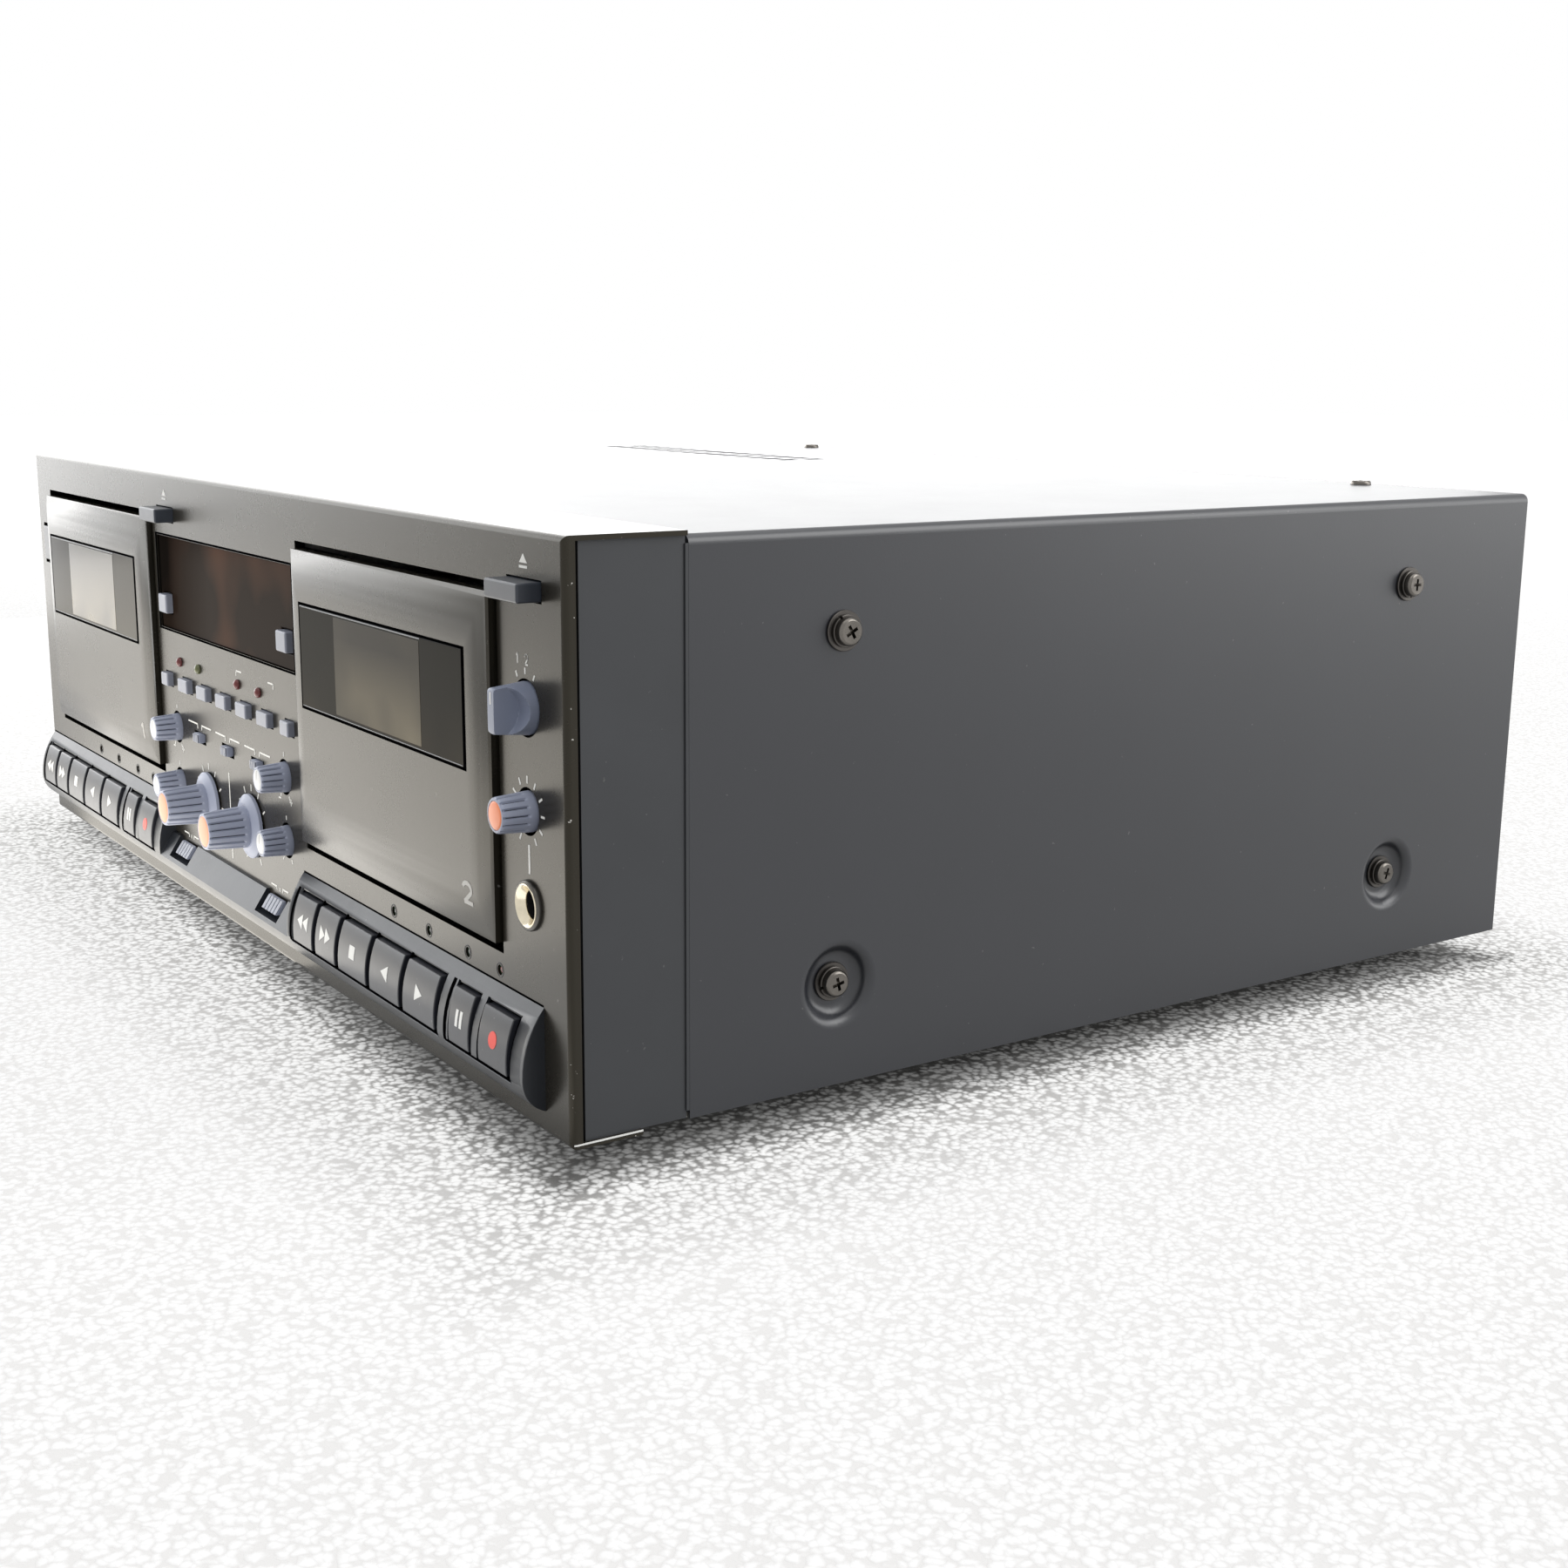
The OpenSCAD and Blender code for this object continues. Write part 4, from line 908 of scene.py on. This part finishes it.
def selector():
    """A round body with a deep finger scoop at each side, which leaves a bar handle."""
    p = Piece()
    m = facing_front(SIDE, SELECTOR_Z)
    reach = 8.8
    scoop_radius = 6.3
    blend = 0.55
    half_bar = 1.55

    def scoop(v):
        far = math.hypot(v.z - reach, v.y) - scoop_radius
        kept = min(1.0, max(0.0, far / blend))
        kept = kept * kept * (3 - 2 * kept)
        if abs(v.x) > half_bar:
            v.x = math.copysign(half_bar + (abs(v.x) - half_bar) * kept, v.x)
        return v

    body = [(0, -1.0), (6.1, -1.0)]
    body += [(6.2 - 0.9 * h / reach, h) for h in [0.25 * k for k in range(34)]]
    body += [(5.22, 8.5), (5.05, 8.68), (4.75, 8.78), (4.2, 8.82), (3.0, 8.84), (1.6, 8.85), (0, 8.85)]
    p.lathe(m, body, "blade", 160, None, scoop)
    p.prism(m, [(-0.28, 1.6), (0.28, 1.6), (0.28, 4.4), (-0.28, 4.4)], 8.7, 8.9, "ink")
    p.done("selector_knob_cap", "selector_knob", ["selector_knob"], 40.0)


selector()


def slide(node, x, z, w, h, out, root):
    """A small ribbed thumb piece with its stem."""
    p = Piece()
    p.box((x - w / 2, x + w / 2), (-out + 0.5, root), (z - h / 2, z + h / 2), "knob", 0.25)
    ribs = 4
    pitch = w / ribs
    tall = (z - h / 2 + 0.15, z + h / 2 - 0.15)
    for k in range(ribs):
        a = x - w / 2 + k * pitch
        p.box((a + 0.12, a + pitch - 0.12), (-out, -out + 0.9), tall, "button", 0.22)
    p.box((x - 1.8, x + 1.8), (root - 0.4, 6.0), (z - 1.1, z + 1.1), "black", 0.1, 1)
    p.done(node + "_cap", node, [node])


def low_slide(node, x):
    """A wide ribbed thumb piece lying along the slope of the rail's middle, with its stem."""
    p = Piece()
    half = 6.0
    base = [(-0.5, 14.8), (-3.7, 14.8), (-1.1, 18.8), (-0.5, 18.8)]
    p.prism(ALONG_X, base, x - half, x + half, "knob", 0.12, 2)
    ribs = 5
    pitch = 2 * half / ribs
    rib = [(-1.0, 18.65), (-3.6, 14.75), (-4.0, 14.95), (-1.42, 18.8)]
    for k in range(ribs):
        a = x - half + k * pitch
        p.prism(ALONG_X, rib, a + 0.2, a + pitch - 0.2, "button", 0.13, 2)
    p.box((x - 1.8, x + 1.8), (-0.9, 6.0), (15.7, 17.9), "black", 0.1, 1)
    p.done(node + "_cap", node, [node])


for i, s in ((1, -1), (2, 0), (3, 1)):
    slide("slide_switch_%d" % i, MID + s * SWITCH_X, SWITCH_Z, 5.0, 3.0, 1.8, 1.0)
for i, s in ((4, -1), (5, 1)):
    low_slide("slide_switch_%d" % i, MID + s * LOW_SWITCH_X)


# Headphone socket


def headphone_socket():
    """A nut, a plated sleeve with a flared mouth, its dark bore and the block behind the panel."""
    p = Piece()
    m = facing_front(SIDE, JACK_Z)
    p.lathe(m, [(5.0, 0.0), (6.1, 0.0), (6.1, 0.5), (5.95, 0.85), (5.6, 1.05), (5.1, 1.05)], "nut", 64)
    mouth = [(3.25, -22.8), (3.25, -0.9), (3.45, -0.5), (4.1, 0.35), (4.5, 0.85), (4.8, 1.15), (5.0, 1.25)]
    outside = [(5.2, 1.15), (5.3, 0.8), (5.3, 0.2), (5.0, 0.0), (5.0, -3.0)]
    p.lathe(m, mouth + outside, "jack", 64)
    p.lathe(m, [(0, -22.8), (3.2, -22.8), (3.2, -1.2), (3.24, -1.0)], "black", 40)
    p.box((SIDE - 7, SIDE + 7), (3.0, 25.0), (JACK_Z - 6.5, JACK_Z + 6.5), "black", 0.4)
    p.done("headphone_jack_ring", "case", ["headphone_jack"], 40.0)


headphone_socket()


# Cover screws with spring and flat washers


def cross_top(p, m, r, h, arm, half, deep):
    """Flat end of a head with a sunk cross."""
    n = 40
    ring = disc(0.0, 0.0, r, n)
    q = half
    cross = [(arm, -q), (arm, q), (q, q), (q, arm), (-q, arm), (-q, q)]
    cross += [(-x, -y) for x, y in cross]
    corners = len(cross)
    bm = bmesh.new()
    verts = [bm.verts.new((x, y, h)) for x, y in ring + cross]
    loops = [[Vector((x, y, 0)) for x, y in ring], [Vector((x, y, 0)) for x, y in reversed(cross)]]
    order = list(range(n)) + list(reversed(range(n, n + corners)))
    for t in tessellate_polygon(loops):
        bm.faces.new([verts[order[i]] for i in t])
    sunk = [bm.verts.new((x * 0.72, y * 0.72, h - deep)) for x, y in cross]
    for k in range(corners):
        j = (k + 1) % corners
        bm.faces.new((verts[n + k], verts[n + j], sunk[j], sunk[k]))
    bm.faces.new(sunk)
    bmesh.ops.recalc_face_normals(bm, faces=bm.faces[:])
    p.take(bm, "screw", m)


def screw(p, m, twist, washers=True):
    """A screw head turned by an angle, on its own or on a flat washer and a split spring washer."""
    m = m @ Matrix.Rotation(twist, 4, "Z")
    if not washers:
        p.lathe(m, [(0.5, 0), (3.3, 0), (3.3, 0.5), (3.1, 1.0), (2.75, 1.3)], "screw", 40)
        cross_top(p, m, 2.75, 1.3, 1.75, 0.42, 0.9)
        return
    p.lathe(m, [(2.2, 0), (4.8, 0), (5.0, 0.15), (5.0, 0.6), (4.85, 0.8), (2.2, 0.8)], "washer", 56)
    gap = 0.10

    def split(a, r, h):
        return 3.0 if a < gap or a > 2 * math.pi - gap else r

    spring = [(2.2, 0.82), (3.85, 0.82), (4.0, 0.95), (4.0, 1.6), (3.85, 1.72), (2.2, 1.72)]
    p.lathe(m, spring, "washer", 60, split)
    head = [(2.0, 1.72), (3.4, 1.72), (3.5, 1.85), (3.5, 2.7), (3.35, 3.15), (3.0, 3.5), (2.75, 3.62)]
    p.lathe(m, head, "screw", 40)
    cross_top(p, m, 2.75, 3.62, 1.75, 0.42, 1.2)


def cover_screws():
    """Four screws with washers at each side and two bare ones at the back of the top."""
    p = Piece()
    k = 0
    for s in (1, -1):
        for y in (75.5, 281.0):
            for x, z in ((COVER_X, 115.3), (COVER_X - 3.6, 27.0)):
                screw(p, facing_side(s, s * x, y, z), 0.5 + 1.3 * k)
                k += 1
        screw(p, Matrix.Translation((s * 158.0, REAR - 4.0, 140.0)), 0.9 * k, False)
    p.done("cover_screws_detail", "case", ["cover_screws"], 30.0)


cover_screws()


# Lamps beside the function buttons and above the keys


def lamps():
    """Domes left of four function buttons, and sunk domes in dark rings above the keys."""
    p = Piece()
    dome = [(1.26, -0.6), (1.26, 0.0), (1.6, 0.02), (1.55, 0.5), (1.25, 0.95), (0.7, 1.25), (0, 1.35)]
    for i, mat in ((2, "lamp_red"), (3, "lamp_green"), (5, "lamp_red"), (6, "lamp_red")):
        p.lathe(facing_front(MID + (i - 4) * FUNCTION_STEP - 6.5, 79.7), dome, mat, 32)
    ring = [(1.5, -1.0), (1.5, 0.0), (1.6, 0.08), (1.8, 0.1), (1.9, 0.0)]
    sunk = [(1.48, -1.0), (1.3, -0.75), (0.8, -0.45), (0.4, -0.32), (0, -0.28)]
    for start in RAILS.values():
        for x in RAIL_LAMPS:
            m = facing_front(start + x, RAIL_LAMP_Z)
            p.lathe(m, ring, "black", 32)
            p.lathe(m, sunk, "lamp_red" if x == RAIL_LAMPS[-1] else "lamp_clear", 24)
    p.done("signal_lamps", "case", (), 50.0)


lamps()


# Printed marks of the panel


def digit_strokes(d, x, z, w, h):
    """Strokes of a plain 1 or 2 in a box with its lower left corner at x, z."""
    if d == 1:
        return [[(x + 0.25 * w, z + 0.78 * h), (x + 0.6 * w, z + h), (x + 0.6 * w, z)]]
    top = []
    r, t = w / 2, 0.3 * h
    for k in range(15):
        a = math.radians(165 - 200 * k / 14)
        top.append((x + r + r * math.cos(a), z + h - t + t * math.sin(a)))
    return [top + [(x + 0.05 * w, z)], [(x, z), (x + w, z)]]


def ring_ticks(p, x, z, r0, r1, angles):
    """Short lines round a knob, at angles from its top."""
    for a in angles:
        t = math.radians(a)
        ends = [(x + r * math.sin(t), z + r * math.cos(t)) for r in (r0, r1)]
        p.stroke(ends, 0.55, flat, "ink")


def marks():
    """Prints on the panel, and the deck numbers on the doors."""
    p = Piece()

    def line(width, *points):
        p.stroke(points, width, flat, "ink")

    whole_turn = range(-150, 151, 30)
    ring_ticks(p, SIDE, PHONES_Z, 6.7, 8.3, whole_turn)
    ring_ticks(p, SIDE, SELECTOR_Z, 7.9, 9.2, (-30, 0, 30))
    for d, a in ((1, -3.6), (2, 0.9)):
        for points in digit_strokes(d, SIDE + a - 0.8, 110.6, 1.3, 2.3):
            line(0.38, *points)
    line(0.8, (199.4, 61.9), (199.4, 68.6))
    line(0.6, (-7.5, 22.2), (-7.5, 49.8))
    for s in (-1, 1):
        ring_ticks(p, MID + s * INPUT_X, INPUT_Z, 11.0, 12.9, whole_turn)
        x = MID + s * SMALL_KNOB_X
        for z in (PITCH_Z, BALANCE_Z):
            ring_ticks(p, x, z, 6.3, 7.4, (-150, 0, 150))
        line(0.45, (x - 5.4, 50.2), (x - 3.6, 50.2))
        line(0.45, (x + 3.6, 50.2), (x + 5.4, 50.2))
        line(0.45, (x + 4.5, 49.3), (x + 4.5, 51.1))
    for s in (-1, 0, 1):
        x = MID + s * SWITCH_X
        for e in (-1, 1):
            line(0.5, (x + e * 11.0, 61.2), (x + e * 2.0, 61.2), (x + e * 2.0, 59.8))
    for s in (-1, 1):
        x = MID + s * LOW_SWITCH_X
        line(0.45, (x, 21.6), (x, 20.5))
        for e in (-1, 1):
            line(0.45, (x + e * 7.0, 21.6), (x + e * 2.4, 21.6), (x + e * 2.4, 20.5))
    line(0.45, (3.9, 82.4), (3.9, 83.9), (8.4, 83.9))
    line(0.45, (35.8, 82.4), (35.8, 83.9), (31.4, 83.9))
    for x in EJECTS.values():
        p.mark([(x - 1.9, 133.6), (x + 1.9, 133.6), (x, 135.7)], flat, "ink")
        line(0.6, (x - 1.9, 132.7), (x + 1.9, 132.7))
    p.done("panel_marks", "case", (), 30.0)
    for deck, x in DOORS.items():
        q = Piece()
        for points in digit_strokes(deck, x + 49.2, 49.3, 4.5, 5.0):
            q.stroke(points, 1.1, on_door, "ink_dull")
        q.done("door_number_%d" % deck, "cassette_door_%d" % deck)


marks()


# Back: sleeves in the sockets and pins in the inlet


def rear_details():
    """Plated sleeves with coloured rings in two rows of sockets, and two pins."""
    p = Piece()
    face = REAR + 1.2
    sleeve = [(4.12, 1.0), (4.12, 8.0), (4.0, 8.4), (3.7, 8.5), (3.5, 8.2), (3.5, 2.0)]
    collar = [(5.2, 1.0), (5.2, 1.35), (5.0, 1.55), (4.1, 1.6)]
    core = [(3.48, 6.5), (3.3, 7.4), (1.75, 7.5), (1.65, 7.0), (1.65, 3.0)]
    for i in range(4):
        for j, colour in enumerate(("socket_red", "socket_white")):
            m = facing_back(60.0 + 24.0 * i, 52.0 + 22.0 * j, face)
            p.lathe(m, sleeve, "zinc", 40)
            p.lathe(m, collar, colour, 40)
            p.lathe(m, core, colour, 40)
    for s in (-1, 1):
        x = INLET_X + s * 4.2
        p.box((x - 1.0, x + 1.0), (REAR - 11.2, REAR - 0.5), (35.0, 37.0), "zinc", 0.3)
    p.done("rear_details", "case")


rear_details()


# Stage, light and camera, in metres of the shared frame

CASE_HALF_X = 0.2165
CASE_HALF_Y = 0.1635


def carpet():
    """Pale loops with the deck's shadow close round it, which turn white far away."""
    m = Mat("floor_pale")
    swirl = m.new("ShaderNodeTexNoise")
    swirl.inputs["Scale"].default_value = 240.0
    m.link(m.coord, swirl.inputs["Vector"])
    warp = m.new("ShaderNodeMix", data_type="VECTOR")
    warp.inputs[0].default_value = 0.003
    m.link(m.coord, warp.inputs[4])
    m.link(swirl.outputs["Color"], warp.inputs[5])
    cells = m.new("ShaderNodeTexVoronoi")
    cells.inputs["Scale"].default_value = 480.0
    m.link(warp.outputs[1], cells.inputs["Vector"])
    tuft = m.ramp(cells.outputs["Distance"], 0.1, 0.75, 1.0, 0.0)
    pile = m.math("ADD", tuft, m.math("MULTIPLY", m.noise(900.0, 2.0), 0.35))
    m.bump(pile, 0.7, 0.0018)

    # How far a place is outside the deck's footprint, below 0 under it
    over_x = m.math("SUBTRACT", m.math("ABSOLUTE", m.axis("X"), 0.0), CASE_HALF_X)
    over_y = m.math("SUBTRACT", m.math("ABSOLUTE", m.axis("Y"), 0.0), CASE_HALF_Y)
    far = m.math("MAXIMUM", over_x, over_y)

    # The shadow's ragged edge, which lies further in at the left
    lit = m.ramp(m.axis("X"), -0.2, 0.16, 0.013, 0.0)
    edge = m.math("ADD", m.math("ADD", far, lit), m.ramp(pile, 0.2, 0.9, -0.003, 0.003))
    shade = m.math("ADD", m.ramp(edge, -0.015, 0.0, 0.03, 0.3), m.ramp(edge, 0.0, 0.014, 0.0, 0.7))

    loops = m.ramp(pile, 0.2, 0.8)
    open_tone = m.mix(loops, lin((234, 233, 232)), lin((252, 252, 252)))
    close_tone = m.mix(loops, lin((172, 171, 169)), lin((250, 250, 249)))
    tone = m.mix(m.ramp(far, 0.004, 0.06), close_tone, open_tone)
    tone = m.mix(shade, lin((24, 24, 23)), tone)

    # Away from the deck the floor shows its colour by itself, to the camera and in reflections
    glow = m.math("MAXIMUM", m.ramp(far, 0.0, 0.04, 0.5, 0.88), m.ramp(far, 0.3, 1.4, 0.88, 1.0))
    m.link(m.mix(glow, tone, BLACK), m.shader.inputs["Base Color"])
    path = m.new("ShaderNodeLightPath").outputs
    seen = m.math("MAXIMUM", path["Is Camera Ray"], path["Is Glossy Ray"])
    seen = m.math("MAXIMUM", seen, path["Is Transmission Ray"])
    pale = m.mix(m.ramp(far, 0.4, 1.2), tone, WHITE)
    m.link(m.mix(m.math("MULTIPLY", seen, glow), BLACK, pale), m.shader.inputs["Emission Color"])
    m.set(Roughness=0.95, Specular_IOR_Level=0.1, Emission_Strength=1.0)
    return m.mat


floor_mesh = bpy.data.meshes.new("floor")
floor_mesh.from_pydata([(-6, -6, 0), (6, -6, 0), (6, 6, 0), (-6, 6, 0)], [], [(0, 1, 2, 3)])
floor_mesh.materials.append(carpet())
floor = bpy.data.objects.new("floor", floor_mesh)
bpy.context.scene.collection.objects.link(floor)

world = bpy.data.worlds.new("studio")
bpy.context.scene.world = world
world.use_nodes = True
background = world.node_tree.nodes["Background"].inputs
background["Color"].default_value = WHITE
background["Strength"].default_value = 1.0


def lamp(name, place, turn, size, level, colour=(1.0, 1.0, 1.0)):
    """A soft panel of even brightness; turn holds its angles in degrees, from facing down."""
    data = bpy.data.lights.new(name, "AREA")
    data.shape = "RECTANGLE"
    data.size, data.size_y = size
    data.energy = level * math.pi * size[0] * size[1]
    data.color = colour
    obj = bpy.data.objects.new(name, data)
    bpy.context.scene.collection.objects.link(obj)
    obj.location = place
    obj.rotation_euler = [math.radians(a) for a in turn]
    obj.visible_camera = False


# Soft panels that stand in for the bright room and carpet that the front and the cover mirror
lamp("overhead", (0.1, 0.1, 1.7), (0, 0, 0), (1.8, 1.8), 1.0)
lamp("left_softbox", (-0.9, 0.01, 0.35), (90, 0, -90), (0.7, 0.7), 3.6)
lamp("front_left_softbox", (-0.95, -0.69, 0.365), (90, 0, -90), (0.6, 0.56), 2.4, (0.96, 0.98, 1.0))
lamp("back_softbox", (-1.7, 1.15, 0.35), (87, 0, -124), (2.0, 0.7), 3.0)
lamp("right_softbox", (1.5, 1.9, 0.4), (82, 0, 144), (1.4, 0.9), 2.8)
lamp("right_top_softbox", (1.09, 0.81, 1.03), (51.5, 0, 135.6), (1.0, 1.0), 4.2)
lamp("floor_reflector", (-0.62, -0.42, 0.004), (180, 0, 15), (1.4, 0.27), 1.7, (1.0, 0.95, 0.86))
lamp("near_reflector", (-0.04, -0.218, 0.003), (180, 0, 0), (0.6, 0.075), 0.8)

CAMERA_PLACE = (0.6049, -0.36875, 0.185)
yaw, pitch, roll = (math.radians(a) for a in (55.72, -11.84, 0.44))
ahead = Vector((-math.sin(yaw) * math.cos(pitch), math.cos(yaw) * math.cos(pitch), math.sin(pitch)))
across = Vector((math.cos(yaw), math.sin(yaw), 0.0))
above = across.cross(ahead)
right = across * math.cos(roll) + above * math.sin(roll)
up = above * math.cos(roll) - across * math.sin(roll)
camera_data = bpy.data.cameras.new("camera")
camera_data.lens = 46.2
camera_data.sensor_width = 36.0
camera = bpy.data.objects.new("camera", camera_data)
bpy.context.scene.collection.objects.link(camera)
camera.matrix_world = axes(right, up, -ahead, CAMERA_PLACE)
camera_data.clip_start = 0.01
bpy.context.scene.camera = camera
bpy.context.scene.view_settings.view_transform = "Standard"

bpy.context.view_layer.update()
